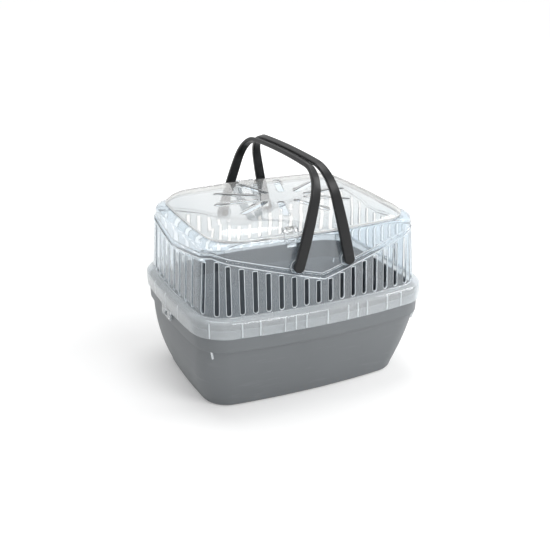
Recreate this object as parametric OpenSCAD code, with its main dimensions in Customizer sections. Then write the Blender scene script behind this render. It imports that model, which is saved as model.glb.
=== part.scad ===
// Pet keeper: a tapered tray, a slotted clear cage, a raised roof lid and two folding strap handles.
// Lengths are in millimetres. X runs along the long side, -Y is the front, +Z is up.
// The origin is on the floor, under the middle of the tray.

/* [Plan outline] */
// Length of the cage at the foot of its wall
foot_l = 280; // [255:1:310]
// Depth of the roof lid, which the cage, the tray and the handles follow
lid_d = 208; // [186:1:234]
// How far the front and back of the cage, at its foot, stand out from the lid
side_out = 9; // [8:0.1:10]
// How far the front and back bow outward
front_bow = 14; // [11:1:16]
// How far the two ends bow outward
end_bow = 7; // [4:1:12]
// Corner radius in plan
corner_r = 33; // [28:1:40]

/* [Tray] */
// Height of the tray rim
rim_z = 110; // [90:1:130]
// Height of the collar, from the step to the rim
collar_h = 26; // [24:1:40]
// How far the collar stands out from the foot outline
collar_out = 5.5; // [4.8:0.1:6]
// How far the step runs in under the collar
step_in = 3.6; // [2:0.1:4.4]
// Wall of the tray
tray_wall = 2.4; // [1.8:0.1:3]
// How far the floor outline lies in from the foot outline, at the ends
floor_end_in = 12.5; // [7:0.5:22]
// How far the floor outline lies in from the foot outline, at the front and back
floor_side_in = 25; // [15:0.5:33]
// Radius of the edge round the floor
floor_edge_r = 6; // [4:0.5:10]
// Bulge of the tray ends at half height
end_bulge = 5; // [0:0.5:8]

/* [Cage] */
// Height of the foot of the slots above the rim
foot_rise = 15; // [13:1:20]
// Wall of the cage
cage_wall = 2; // [1.6:0.1:2.2]
// How far the skirt reaches down over the rim
skirt_lap = 9; // [6:1:10]
// How far the skirt stands out from the foot outline
skirt_out = 9.2; // [8.9:0.1:10]
// Inward lean of the wall, as a share of its height
wall_lean = 0.045; // [0.04:0.005:0.05]
// Further lean of the wall at its corners
corner_lean = 0.04; // [0:0.01:0.06]
// Height of the ledge above the foot of the slots, in the middle of the front
ledge_h = 27; // [21:1:30]
// Rise of the ledge for each millimetre along the wall
ledge_slope = 0.28; // [0.24:0.01:0.3]
// Height of the ledge above the foot of the slots, in the middle of the ends
end_ledge_h = 51; // [45:1:55]
// Depth of the ledge in the middle of the front
ledge_in = 5.5; // [4.5:0.1:6]
// Height of the wall, from the foot of the slots to the shoulder
wall_h = 73; // [70:1:80]
// Height of the rounded shoulder, from the wall to the seat of the lid
shoulder_h = 5; // [4:1:8]
// Width of the end tabs that hook onto the tray
tab_w = 30; // [22:1:40]
// Drop of the end tabs below the skirt
tab_drop = 12; // [11:0.5:15]

/* [Slots] */
// Width of a slot
slot_w = 5.2; // [4:0.1:6]
// Distance between the slots along the front
front_pitch = 14.8; // [13.8:0.1:15]
// Distance between the slots along the ends
end_pitch = 17.9; // [16:0.1:18.5]

/* [Roof lid] */
// Length of the lid
lid_l = 247; // [235:1:255]
// Height of the lid above its seat
lid_h = 13.5; // [11:0.5:15]
// Wall of the lid
lid_wall = 2; // [1.6:0.1:2.4]
// Width of the vents in the lid
vent_w = 8; // [5:0.5:9]
// Length of the vents between the centres of their round ends
vent_l = 48; // [36:1:50]
// Width of the hinge knuckle at the back of the lid
knuckle_w = 13; // [10:0.5:14]
// Radius of the hinge pins
hinge_pin_r = 1.8; // [1.5:0.1:2]

/* [Latch] */
// Distance of the latch from the middle, to the left
latch_x = 38; // [37.5:0.5:48]
// Width of the latch
latch_w = 17; // [14:1:17]
// Thickness of the latch
latch_t = 1.4; // [1.2:0.1:1.5]
// Width of the thumb tab under the latch
thumb_w = 11; // [7:1:13]

/* [Handles] */
// Distance of the handle pivots from the middle
pivot_x = 31; // [29:0.5:33]
// Height of the handle pivots above the ledge in the middle of the front
pivot_h = 18; // [17:0.5:20]
// Clearance of the straps from the recessed panel
strap_clear = 2.57; // [2.4:0.01:4]
// Reach of the handle from its pivots to the middle of the grip
handle_h = 106.5; // [96:0.5:120]
// Radius of the corners of a handle
handle_r = 38; // [34:1:41]
// Width of a strap at its pivot
strap_w = 12.4; // [10:0.1:13]
// Width of the grip
grip_w = 8.2; // [6:0.1:9]
// Thickness of a strap
strap_t = 5; // [3.5:0.1:5.2]
// Radius of the pivot pins
pivot_pin_r = 3; // [2.4:0.1:3.4]

/* [Hidden] */
// Radial clearance of a turning pin
run = 0.08;
// Clearance between pieces that rest side by side
gap = 0.3;
// How far a cutter reaches past what it cuts
past = 1;
// Facets of round exact shapes
round_n = 48;
// Points of a quarter outline along its end, its corner and its front
end_n = 3;
corner_n = 6;
front_n = 5;
quarter_n = end_n + corner_n + front_n;
ring_n = 4 * quarter_n;

clear_grey = [0.86, 0.89, 0.92, 0.55];
clear_white = [0.93, 0.95, 0.97, 0.45];
tray_grey = [0.5, 0.52, 0.54];
strap_black = [0.12, 0.12, 0.13];

// Point and outward normal on an arc: centre, radius, angle
function on_arc(c, r, t) = [c.x + r * cos(t), c.y + r * sin(t), cos(t), sin(t)];
// Radius of an arc with half chord h and sagitta s
function arc_r(h, s) = (h * h + s * s) / (2 * s);
// Meeting point, on the outer side, of two circles
function meet(c1, r1, c2, r2) =
    let (d = norm(c2 - c1), u = (c2 - c1) / d)
    let (t = (r1 * r1 - r2 * r2 + d * d) / (2 * d), h = sqrt(r1 * r1 - t * t))
    c1 + u * t + [u.y, -u.x] * h;

// Arcs of a bowed rounded rectangle with half length a, half depth b and corner radius r:
// [front centre, front radius, end centre, end radius, corner centre, end angle, front angle]
function arcs(a, b, r, fb, eb) =
    let (rf = arc_r(a, fb), re = arc_r(b, eb))
    let (cf = [0, b - rf], ce = [a - re, 0])
    let (c = meet(cf, rf - r, ce, re - r))
    [cf, rf, ce, re, c, atan2(c.y - ce.y, c.x - ce.x), atan2(c.y - cf.y, c.x - cf.x)];

// Outline in the first quarter, from the end to the middle of the front, without its last point
function quarter(a, b, r, fb, eb) =
    let (k = arcs(a, b, r, fb, eb))
    concat(
        [for (i = [0 : end_n - 1]) on_arc(k[2], k[3], k[5] * i / end_n)],
        [for (i = [0 : corner_n - 1]) on_arc(k[4], r, k[5] + (k[6] - k[5]) * i / corner_n)],
        [for (i = [0 : front_n - 1]) on_arc(k[0], k[1], k[6] + (90 - k[6]) * i / front_n)]);

// Half outline, from +X over the middle of the front to -X
function half_outline(a, b, r, fb, eb) =
    let (q = quarter(a, b, r, fb, eb), first = concat(q, [[0, b, 0, 1]]))
    concat(first, [for (i = [quarter_n - 1 : -1 : 0]) turn(q[i], -1, 1)]);
// Whole outline, anticlockwise from +X, each point with its outward normal
function outline(a, b, r, fb, eb) =
    let (half = half_outline(a, b, r, fb, eb))
    concat(half, [for (i = [2 * quarter_n - 1 : -1 : 1]) turn(half[i], 1, -1)]);
function turn(p, sx, sy) = [p[0] * sx, p[1] * sy, p[2] * sx, p[3] * sy];

// Plan sizes and heights that follow from the sizes above
foot_d = lid_d + 2 * side_out;
floor_l = foot_l - 2 * floor_end_in;
floor_d = foot_d - 2 * floor_side_in;
step_z = rim_z - collar_h;
skirt_z = rim_z - skirt_lap;
foot_z = rim_z + foot_rise;
ledge_z = foot_z + ledge_h;
end_ledge_z = foot_z + end_ledge_h;
shoulder_z = foot_z + wall_h;
seat_z = shoulder_z + shoulder_h;
pivot_z = ledge_z + pivot_h;

// The tray floor bows less than the cage, and the lid a little less
floor_bow = 0.67;
lid_bow = 0.86;
lid_r = corner_r + 3;
foot_arcs = arcs(foot_l / 2, foot_d / 2, corner_r, front_bow, end_bow);
foot = outline(foot_l / 2, foot_d / 2, corner_r, front_bow, end_bow);
base = outline(floor_l / 2, floor_d / 2, corner_r, front_bow * floor_bow, end_bow * floor_bow);
lid_outline = outline(lid_l / 2, lid_d / 2, lid_r, front_bow * lid_bow, end_bow * lid_bow);
// Distance of an edge from the middle plane, on the front arc k, at distance x from the middle
function arc_y(k, x) = k[0].y + sqrt(k[1] * k[1] - x * x);

// A ring: an outline moved outward by d, at height z
function ring(line, d, z) = [for (p = line) [p[0] + p[2] * d, p[1] + p[3] * d, z]];
function reversed(v) = [for (i = [len(v) - 1 : -1 : 0]) v[i]];

// Closed solid through rings that all have the same number of points.
// The first and last rings are joined to each other, or each gets a flat cap.
module loft(rings, caps = false) {
    n = len(rings[0]);
    m = len(rings);
    sides = [for (j = [0 : m - (caps ? 2 : 1)], i = [0 : n - 1])
        let (k = (j + 1) % m, e = (i + 1) % n) [j * n + i, k * n + i, k * n + e, j * n + e]];
    ends = [[for (i = [0 : n - 1]) i], [for (i = [n - 1 : -1 : 0]) (m - 1) * n + i]];
    polyhedron([for (r = rings) each r], concat(sides, caps ? ends : []));
}

module both_sides() {
    for (sy = [0, 1])
        mirror([0, sy, 0]) children();
}
module both_ends() {
    for (sx = [0, 1])
        mirror([sx, 0, 0]) children();
}
// Cylinder along +X from x to x + l, round the axis at y and z
module rod(x, l, y, z, r) {
    translate([x, y, z]) rotate([0, 90, 0]) cylinder(h = l, r = r, $fn = round_n);
}
// Side profile given as [y, z] points, extruded along +X from x to x + l
module profile(x, l, points) {
    translate([x, 0, 0]) rotate([90, 0, 90]) linear_extrude(l) polygon(points);
}

// Way along the foot outline from the middle of an end
function way(i) = i == 0 ? 0 : way(i - 1) + norm([foot[i][0] - foot[i - 1][0], foot[i][1] - foot[i - 1][1]]);
quarter_way = [for (i = [0 : quarter_n]) way(i)];
function in_quarter(i) = let (k = i % (2 * quarter_n)) k <= quarter_n ? k : 2 * quarter_n - k;
way_end = [for (i = [0 : ring_n - 1]) quarter_way[in_quarter(i)]];
half_way = quarter_way[quarter_n];

// The ledge climbs from the middle of each side to a peak in the middle of each corner
corner_i = end_n + corner_n / 2;
peak_z = ledge_z + ledge_slope * (half_way - quarter_way[corner_i]);
end_slope = (peak_z - end_ledge_z) / quarter_way[corner_i];
function ledge_height(along_end) =
    min(ledge_z + ledge_slope * (half_way - along_end), end_ledge_z + end_slope * along_end);
function recess(h) = ledge_in * sqrt(max(0, peak_z - h) / (peak_z - ledge_z));

// Ring of the cage wall: heights z, moved inward by d, each one value for a point
function lean(p, z) = (z - foot_z) * (wall_lean + corner_lean * abs(2 * p[2] * p[3]));
function wall_ring(z, d) =
    [for (i = [0 : ring_n - 1]) let (p = foot[i], k = lean(p, z[i]) + d[i])
        [p[0] - p[2] * k, p[1] - p[3] * k, z[i]]];
function all_points(v) = [for (i = [0 : ring_n - 1]) v];
ledge = [for (i = [0 : ring_n - 1]) ledge_height(way_end[i])];
inset = [for (h = ledge) recess(h)];
ledge_rise = 2.5;
// Distance of the recessed panel from the middle plane
function panel_y(x, z) =
    let (t = acos(x / foot_arcs[1]), p = on_arc(foot_arcs[0], foot_arcs[1], t))
    p[1] - lean(p, z) - recess(ledge_z + ledge_slope * x);

// Rounded top of the wall, from ring p to ring q, which lies further in and higher
function shoulder(p, q, steps) =
    [for (k = [1 : steps]) let (t = 90 * k / steps)
        [for (i = [0 : ring_n - 1])
            [p[i].x + (q[i].x - p[i].x) * (1 - cos(t)), p[i].y + (q[i].y - p[i].y) * (1 - cos(t)),
             p[i].z + (q[i].z - p[i].z) * sin(t)]]];

// Tray: the wall from the floor edge to the step, bulging at the ends
under_out = collar_out - step_in;
tray_levels = 3;
edge_steps = 3;
rim_flare = 0.5;
function tray_wall_ring(t, inward) =
    let (low = ring(base, -inward, floor_edge_r), high = ring(foot, under_out - inward, step_z - step_in / 2))
    [for (i = [0 : ring_n - 1])
        low[i] * (1 - t) + high[i] * t + [foot[i][2] * abs(foot[i][2]), 0, 0] * end_bulge * 4 * t * (1 - t)];
function edge_ring(t, inward) =
    ring(base, (floor_edge_r - inward) * (sin(t) - 1) - inward, floor_edge_r - (floor_edge_r - inward) * cos(t));

// Window in the end tabs, and the hook of the tray that stands in it
window_w = 10;
window_h = 6;
window_z = skirt_z - tab_drop + 2.5;
hook_edge = 1.6;
rib_t = 1.6;
corner_rib_h = 10;
corner_rib_foot = 2.2;

module base_tray() {
    outer = concat(
        [for (k = [0 : edge_steps - 1]) edge_ring(90 * k / edge_steps, 0)],
        [for (k = [0 : tray_levels]) tray_wall_ring(k / tray_levels, 0)],
        [ring(foot, collar_out, step_z), ring(foot, collar_out + rim_flare, rim_z)]);
    inner = concat(
        [ring(foot, collar_out + rim_flare - tray_wall, rim_z),
         ring(foot, collar_out - tray_wall, step_z + step_in / 2)],
        [for (k = [tray_levels : -1 : 0]) tray_wall_ring(k / tray_levels, tray_wall)],
        [for (k = [edge_steps - 1 : -1 : 0]) edge_ring(90 * k / edge_steps, tray_wall)]);
    color(tray_grey) {
        loft(concat(outer, inner), caps = true);
        both_ends() tray_hook();
        both_ends() both_sides() corner_rib();
    }
}

// Ramped hook on the collar, in the middle of one end
module tray_hook() {
    w = window_w - 2 * gap;
    low = window_z + gap;
    high = window_z + window_h - gap;
    root = foot_l / 2 + collar_out - tray_wall / 2;
    tip = foot_l / 2 + skirt_out - cage_wall / 2;
    translate([0, w / 2, 0])
        rotate([90, 0, 0])
            linear_extrude(w)
                polygon([[root, low], [tip, low], [tip, low + hook_edge], [root, high]]);
}

// Small fin under the step, in the middle of one corner
module corner_rib() {
    reach = collar_out - 0.5;
    top = step_z + 1;
    place_on(on_arc(foot_arcs[4], corner_r, 45), rib_t)
        polygon([[-tray_wall / 2, step_z - corner_rib_h], [-tray_wall / 2, top], [reach, top],
            [reach, step_z - 1], [corner_rib_foot, step_z - corner_rib_h]]);
}

// Flat shape of thickness t, drawn in the plane of the outward normal and +Z, at outline point p
module place_on(p, t) {
    translate([p[0], p[1], 0])
        rotate([0, 0, atan2(p[3], p[2])])
            translate([0, t / 2, 0])
                rotate([90, 0, 0])
                    linear_extrude(t) children();
}

// Cage: skirt, wall, ledge, recessed panel, shoulder and the seat of the lid
skirt_bend_z = foot_z - 9;
skirt_top_z = foot_z - 2.5;
skirt_flare = 0.6;
skirt_steps = 3;
shoulder_steps = 3;
seat_w = 4;
function skirt_ring(t, d) =
    ring(foot, (skirt_out - d) * cos(t) - d * (1 - cos(t)),
        skirt_bend_z + (skirt_top_z - skirt_bend_z - d) * sin(t));

module cage_shell() {
    w = cage_wall;
    top = wall_ring(all_points(shoulder_z), inset);
    top_inner = wall_ring(all_points(shoulder_z - w / 2), [for (d = inset) d + w]);
    outer = concat(
        [ring(foot, skirt_out - skirt_flare, skirt_z)],
        [for (k = [0 : skirt_steps]) skirt_ring(90 * k / skirt_steps, 0)],
        [wall_ring(ledge, all_points(0)), wall_ring([for (h = ledge) h + ledge_rise], inset), top],
        shoulder(top, ring(lid_outline, gap, seat_z), shoulder_steps),
        [ring(lid_outline, -seat_w, seat_z)]);
    inner = concat(
        [ring(lid_outline, -seat_w, seat_z - w)],
        reversed(shoulder(top_inner, ring(lid_outline, gap - w, seat_z - w), 2)),
        [top_inner,
         wall_ring([for (h = ledge) h + ledge_rise - w / 2], [for (d = inset) d + w]),
         wall_ring([for (h = ledge) h - w / 2], all_points(w))],
        [for (k = [skirt_steps : -1 : 0]) skirt_ring(90 * k / skirt_steps, w)],
        [ring(foot, skirt_out - skirt_flare - w, skirt_z)]);
    loft(concat(outer, inner));
}

// Places of the slots in one quarter: point, outward angle and height of the slot's top
front_slots = ceil((foot_arcs[4].x + corner_r * cos(foot_arcs[6])) / front_pitch);
end_slots = floor((foot_arcs[4].y + corner_r * sin(foot_arcs[5])) / end_pitch + 0.5);
corner_slots = 2;
// Place of the first corner slot and step to the next, as shares of the corner's turn
corner_first = 0.25;
corner_step = 0.4;
slot_top_gap = 3;
function slot_place(p, h) = [p, atan2(p[3], p[2]), h - slot_top_gap];
function front_slot(x) =
    slot_place(on_arc(foot_arcs[0], foot_arcs[1], acos(x / foot_arcs[1])), ledge_z + ledge_slope * x);
function end_slot(y) =
    slot_place(on_arc(foot_arcs[2], foot_arcs[3], asin(y / foot_arcs[3])), end_ledge_z + end_slope * y);
function corner_slot(k) =
    let (t = foot_arcs[5] + (foot_arcs[6] - foot_arcs[5]) * (corner_first + (k - 1) * corner_step))
    slot_place(on_arc(foot_arcs[4], corner_r, t), peak_z - ledge_slope * corner_r * abs(45 - t) * PI / 180);
slots = concat(
    [for (k = [1 : front_slots]) front_slot((k - 0.5) * front_pitch)],
    [for (k = [1 : corner_slots]) corner_slot(k)],
    [for (k = [1 : end_slots]) end_slot((k - 0.5) * end_pitch)]);

// Cutter of one slot, standing on its round foot, deep enough for the wall's lean
slot_depth = 13;
module slot_cutter(s) {
    translate([s[0][0], s[0][1], foot_z])
        rotate([90, 0, 90 + s[1]])
            translate([0, 0, -slot_depth])
                linear_extrude(slot_depth + cage_wall)
                    union() {
                        translate([0, slot_w / 2]) circle(d = slot_w, $fn = 24);
                        translate([-slot_w / 2, slot_w / 2]) square([slot_w, s[2] - foot_z - slot_w / 2]);
                    }
}

// Ribs inside the skirt, which rest on the tray rim: a group of three and two more in each half front
rib_in = 3;
rib_top_z = skirt_bend_z + 2.5;
first_rib_x = 26;
rib_pitch = 12.5;
far_rib_x = 79;
far_rib_pitch = 20;
end_rib_y = 40;
front_ribs = [for (k = [0 : 2]) first_rib_x + k * rib_pitch];
far_ribs = [for (k = [0 : 1]) far_rib_x + k * far_rib_pitch];
module skirt_rib(p) {
    reach = skirt_out - 1.5;
    place_on(p, rib_t)
        translate([rib_in, rim_z + gap]) square([reach - rib_in, rib_top_z - rim_z - gap]);
}
module skirt_ribs() {
    both_ends() both_sides() {
        for (x = concat(front_ribs, far_ribs))
            skirt_rib(on_arc(foot_arcs[0], foot_arcs[1], acos(x / foot_arcs[1])));
        skirt_rib(on_arc(foot_arcs[4], corner_r, 45));
        skirt_rib(on_arc(foot_arcs[2], foot_arcs[3], asin(end_rib_y / foot_arcs[3])));
    }
    both_sides() skirt_rib([0, foot_d / 2, 0, 1]);
    both_ends() skirt_rib([foot_l / 2, 0, 1, 0]);
}

// Tab in the middle of one end, hanging from the skirt
module end_tab() {
    out = foot_l / 2 + skirt_out - skirt_flare;
    overlap = 3;
    difference() {
        translate([out - cage_wall, -tab_w / 2, skirt_z - tab_drop])
            cube([cage_wall, tab_w, tab_drop + overlap]);
        translate([out - cage_wall - past, -window_w / 2, window_z])
            cube([cage_wall + 2 * past, window_w, window_h]);
    }
}

// Hinge of the lid at the middle of the back
hinge_z = seat_z + 3.6;
ear_r = hinge_pin_r + 1.8;
ear_t = 4;
hinge_y = lid_d / 2 + gap + ear_r;
knuckle_r = ear_r - 0.6;
ear_drop = 16;
module hinge_ear() {
    x = knuckle_w / 2 + gap;
    foot_in = panel_y(x, seat_z) - 1.6;
    rod(x, ear_t, hinge_y, hinge_z, ear_r);
    profile(x, ear_t, [[foot_in, hinge_z - ear_drop], [hinge_y + ear_r, hinge_z],
        [hinge_y - ear_r, hinge_z], [hinge_y - ear_r, seat_z - 2], [foot_in, shoulder_z]]);
}

// Bosses that carry the handle pins, through the recessed panel
pivot_panel_y = panel_y(pivot_x, pivot_z);
strap_in = pivot_panel_y + strap_clear;
strap_y = strap_in + strap_t / 2;
boss_r = 8.8;
boss_out = strap_in - gap;
boss_in = pivot_panel_y - 4;
module along_y(y, l, r) {
    translate([pivot_x, y, pivot_z]) rotate([-90, 0, 0]) cylinder(h = l, r = r, $fn = round_n);
}

module cage_top() {
    color(clear_grey)
        difference() {
            union() {
                difference() {
                    cage_shell();
                    both_ends() both_sides() for (s = slots) slot_cutter(s);
                }
                skirt_ribs();
                both_ends() end_tab();
                both_ends() hinge_ear();
                both_ends() both_sides() along_y(boss_in, boss_out - boss_in, boss_r);
                latch_catch();
            }
            both_ends() both_sides() along_y(boss_in - past, boss_out - boss_in + 2 * past, pivot_pin_r + run);
            rod(-lid_l / 4, lid_l / 2, hinge_y, hinge_z, hinge_pin_r + run);
        }
}

// Lid: height of its pillow surface at distance d in from its edge
lid_rim_h = 2.5;
dome_in = 34;
dome_steps = 7;
function lid_z(d) = seat_z + lid_rim_h + (lid_h - lid_rim_h) * (1 - pow(1 - d / dome_in, 3));
function dome_ring(k, inward) =
    let (s = pow(k / dome_steps, 2))
    ring(lid_outline, -inward - s * (dome_in - inward), lid_z(s * dome_in) - inward);

// Vents, between an inner and an outer oval round the middle
vents = 10;
vent_in_x = 33;
vent_in_y = 22;
module vent_cutter(t) {
    translate([vent_in_x * cos(t), vent_in_y * sin(t), seat_z])
        rotate([0, 0, t])
            linear_extrude(lid_h + past)
                union() {
                    for (x = [0, vent_l]) translate([x, 0]) circle(d = vent_w, $fn = 24);
                    translate([0, -vent_w / 2]) square([vent_l, vent_w]);
                }
}

module lid_shell() {
    loft(concat(
            [for (k = [dome_steps : -1 : 0]) dome_ring(k, lid_wall)],
            [ring(lid_outline, -lid_wall, seat_z), ring(lid_outline, 0, seat_z)],
            [for (k = [0 : dome_steps]) dome_ring(k, 0)]),
        caps = true);
}

// Knuckle at the back, with a pin at each end
module lid_knuckle() {
    root = lid_d / 2 - lid_wall * 0.75;
    arm_low = hinge_z - knuckle_r;
    rod(-knuckle_w / 2, knuckle_w, hinge_y, hinge_z, knuckle_r);
    profile(-knuckle_w / 2, knuckle_w, [[root, arm_low], [hinge_y, arm_low],
        [hinge_y, hinge_z + knuckle_r], [root, seat_z + lid_rim_h]]);
    pin_half = knuckle_w / 2 + gap + ear_t;
    rod(-pin_half, 2 * pin_half, hinge_y, hinge_z, hinge_pin_r);
}

// Latch hinge, on the front slope of the lid
latch_r = 2.4;
latch_pin_r = 1.2;
lug_w = 8;
latch_back = 3.4;
lid_arcs = arcs(lid_l / 2, lid_d / 2, lid_r, front_bow * lid_bow, end_bow * lid_bow);
latch_edge_y = arc_y(lid_arcs, latch_x);
latch_y = latch_edge_y - latch_back;
latch_z = lid_z(latch_back) + 1.45 * latch_r;
module latch_lug() {
    near = latch_edge_y - 1.5;
    far = latch_y - latch_r;
    profile(-lug_w / 2, lug_w, [[near, lid_z(1.5) - lid_wall / 2], [latch_y + latch_r, latch_z],
        [far, latch_z], [far, lid_z(latch_edge_y - far) - lid_wall / 2]]);
    rod(-lug_w / 2, lug_w, latch_y, latch_z, latch_r);
    pin_half = latch_w / 2 - gap;
    rod(-pin_half, 2 * pin_half, latch_y, latch_z, latch_pin_r);
}
module at_latch() {
    translate([-latch_x, 0, 0]) mirror([0, 1, 0]) children();
}

module roof_lid() {
    color(clear_white) {
        difference() {
            lid_shell();
            for (k = [0 : vents - 1]) vent_cutter(360 * k / vents);
        }
        lid_knuckle();
        at_latch() latch_lug();
    }
}

// Latch: arms on the lug, a strip over the edge of the lid, a slit and a thumb tab
clip_turn_z = seat_z + 4;
clip_low_z = seat_z - 3;
thumb_z = seat_z - 10;
clip_in = max(lid_d / 2, panel_y(latch_x - thumb_w / 2, thumb_z)) + gap;
clip_out = clip_in + latch_t;
thumb_flare = 0.6;
slit_w = 8;
slit_h = 2;
arm_clear = latch_r + gap;
module lid_latch() {
    color(clear_white)
        at_latch()
            difference() {
                union() {
                    profile(-latch_w / 2, latch_w, [[clip_in, clip_low_z], [clip_out, clip_low_z],
                        [clip_out, clip_turn_z + latch_t / 2], [latch_y + arm_clear + latch_t, latch_z + latch_t / 2],
                        [latch_y + arm_clear, latch_z - latch_t / 2], [clip_in, clip_turn_z]]);
                    for (side = [0, 1]) mirror([side, 0, 0]) latch_arm();
                    profile(-thumb_w / 2, thumb_w, [[clip_in, thumb_z + 2], [clip_in + thumb_flare, thumb_z],
                        [clip_out + thumb_flare, thumb_z], [clip_out, thumb_z + 4], [clip_out, clip_low_z],
                        [clip_in, clip_low_z]]);
                }
                translate([-slit_w / 2, clip_in - past, clip_low_z + latch_t / 2])
                    cube([slit_w, latch_t + 2 * past, slit_h]);
                rod(-latch_w, 2 * latch_w, latch_y, latch_z, latch_pin_r + run);
            }
}
module latch_arm() {
    x = lug_w / 2 + gap;
    l = latch_w / 2 - x;
    rod(x, l, latch_y, latch_z, latch_r);
    profile(x, l, [[latch_y, latch_z + latch_r], [latch_y, latch_z - latch_r],
        [clip_in, clip_turn_z + latch_t / 2], [clip_out, clip_turn_z + latch_t / 2],
        [latch_y + arm_clear + latch_t, latch_z + latch_t / 2]]);
}

// Low bead on the panel, behind the thumb tab
catch_w = 7;
catch_z = thumb_z + 3;
module latch_catch() {
    face = panel_y(latch_x, catch_z);
    at_latch()
        profile(-catch_w / 2, catch_w, [[face - 1, catch_z - 1], [clip_in - gap, catch_z],
            [clip_in - gap, catch_z + 1], [face - 1, catch_z + 2]]);
}

// Handles: a strap bent over the lid, drawn upright over its pivots, then leaned to meet the other.
// The pair rests tilted a little to the right
pair_tilt = 2.2;
crown_bow = 5.2;
side_bow = 13;
strap_edge = 1.2;
snap_out = 1.4;
snap_t = 1.6;
handle_line = half_outline(strap_y, handle_h, handle_r, crown_bow, side_bow);
grip_top = handle_h + strap_t / 2;
handle_lean = asin((pivot_x - gap / 2) / norm([grip_top, grip_w / 2])) - atan(grip_w / 2 / grip_top);
// The strap keeps most of its width up to the grip
width_taper = 3;
function strap_width(h) = grip_w + (strap_w - grip_w) * (1 - pow(h / handle_h, width_taper));
// Rounded section of a strap: [across, outward] points
function strap_section(w) =
    [for (c = [0 : 3], k = [0 : 2])
        let (t = 90 * c + 45 * k, sx = c == 0 || c == 3 ? 1 : -1, sy = c < 2 ? 1 : -1)
        [sx * (w / 2 - strap_edge) + strap_edge * cos(t), sy * (strap_t / 2 - strap_edge) + strap_edge * sin(t)]];
function strap_ring(p) =
    [for (q = strap_section(strap_width(p[1]))) [q.x, p[0] + p[2] * q.y, p[1] + p[3] * q.y]];

// Round end of a strap with its pin and snap head
module pivot_end() {
    head = boss_in - gap;
    r = strap_w / 2;
    e = strap_edge * 0.7;
    translate([0, strap_in, 0])
        rotate([-90, 0, 0])
            rotate_extrude($fn = round_n)
                polygon([[0, 0], [r - e, 0], [r, e], [r, strap_t - e], [r - e, strap_t], [0, strap_t]]);
    translate([0, head - snap_t, 0]) rotate([-90, 0, 0]) {
        cylinder(h = strap_y - head + snap_t, r = pivot_pin_r, $fn = round_n);
        cylinder(h = snap_t, r = pivot_pin_r + snap_out, $fn = round_n);
    }
}
module handle(side) {
    color(strap_black)
        translate([side * pivot_x, 0, pivot_z])
            rotate([0, pair_tilt - side * handle_lean, 0]) {
                loft([for (p = handle_line) strap_ring(p)], caps = true);
                both_sides() pivot_end();
            }
}
module left_handle() {
    handle(-1);
}
module right_handle() {
    handle(1);
}

base_tray();
cage_top();
roof_lid();
lid_latch();
left_handle();
right_handle();
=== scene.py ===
"""Clear pet keeper: tapered tray, slotted cage, roof lid, clip latch and two strap handles.

Plan sizes are in millimetres, as in the part's source, and every mesh is written in metres.
X runs along the long side, -Y is the front and +Z is up.
"""
import logging
import math
from collections.abc import Sequence
from dataclasses import dataclass, field
from enum import Enum

import bmesh
import bpy
import numpy as np
from mathutils import Matrix, Vector
from mathutils.geometry import delaunay_2d_cdt


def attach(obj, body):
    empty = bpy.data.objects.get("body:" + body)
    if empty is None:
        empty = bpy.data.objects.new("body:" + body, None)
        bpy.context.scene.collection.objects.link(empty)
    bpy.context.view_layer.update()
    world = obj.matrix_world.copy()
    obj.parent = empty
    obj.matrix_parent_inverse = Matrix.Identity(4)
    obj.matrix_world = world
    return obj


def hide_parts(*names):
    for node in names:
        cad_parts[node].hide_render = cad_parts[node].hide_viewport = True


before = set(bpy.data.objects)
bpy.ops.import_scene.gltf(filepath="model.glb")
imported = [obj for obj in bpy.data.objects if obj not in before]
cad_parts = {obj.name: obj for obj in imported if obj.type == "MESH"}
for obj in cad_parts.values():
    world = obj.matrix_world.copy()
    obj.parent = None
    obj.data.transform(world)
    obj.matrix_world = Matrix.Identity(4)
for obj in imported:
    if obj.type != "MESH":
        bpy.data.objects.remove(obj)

LOG = logging.getLogger("pet_keeper")
MM = 0.001
QUARTERS = ((1, 1), (-1, 1), (-1, -1), (1, -1))
ENDS = ((1, 1), (-1, 1))
PIN_SLACK = 0.08


class Body(Enum):
    """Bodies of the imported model."""

    BASE = "base"
    LID = "lid"
    LATCH = "latch"
    LEFT_HANDLE = "left_handle"
    RIGHT_HANDLE = "right_handle"


class Side(Enum):
    """Side of the carrier, as the sign of X."""

    LEFT = -1
    RIGHT = 1


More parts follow.
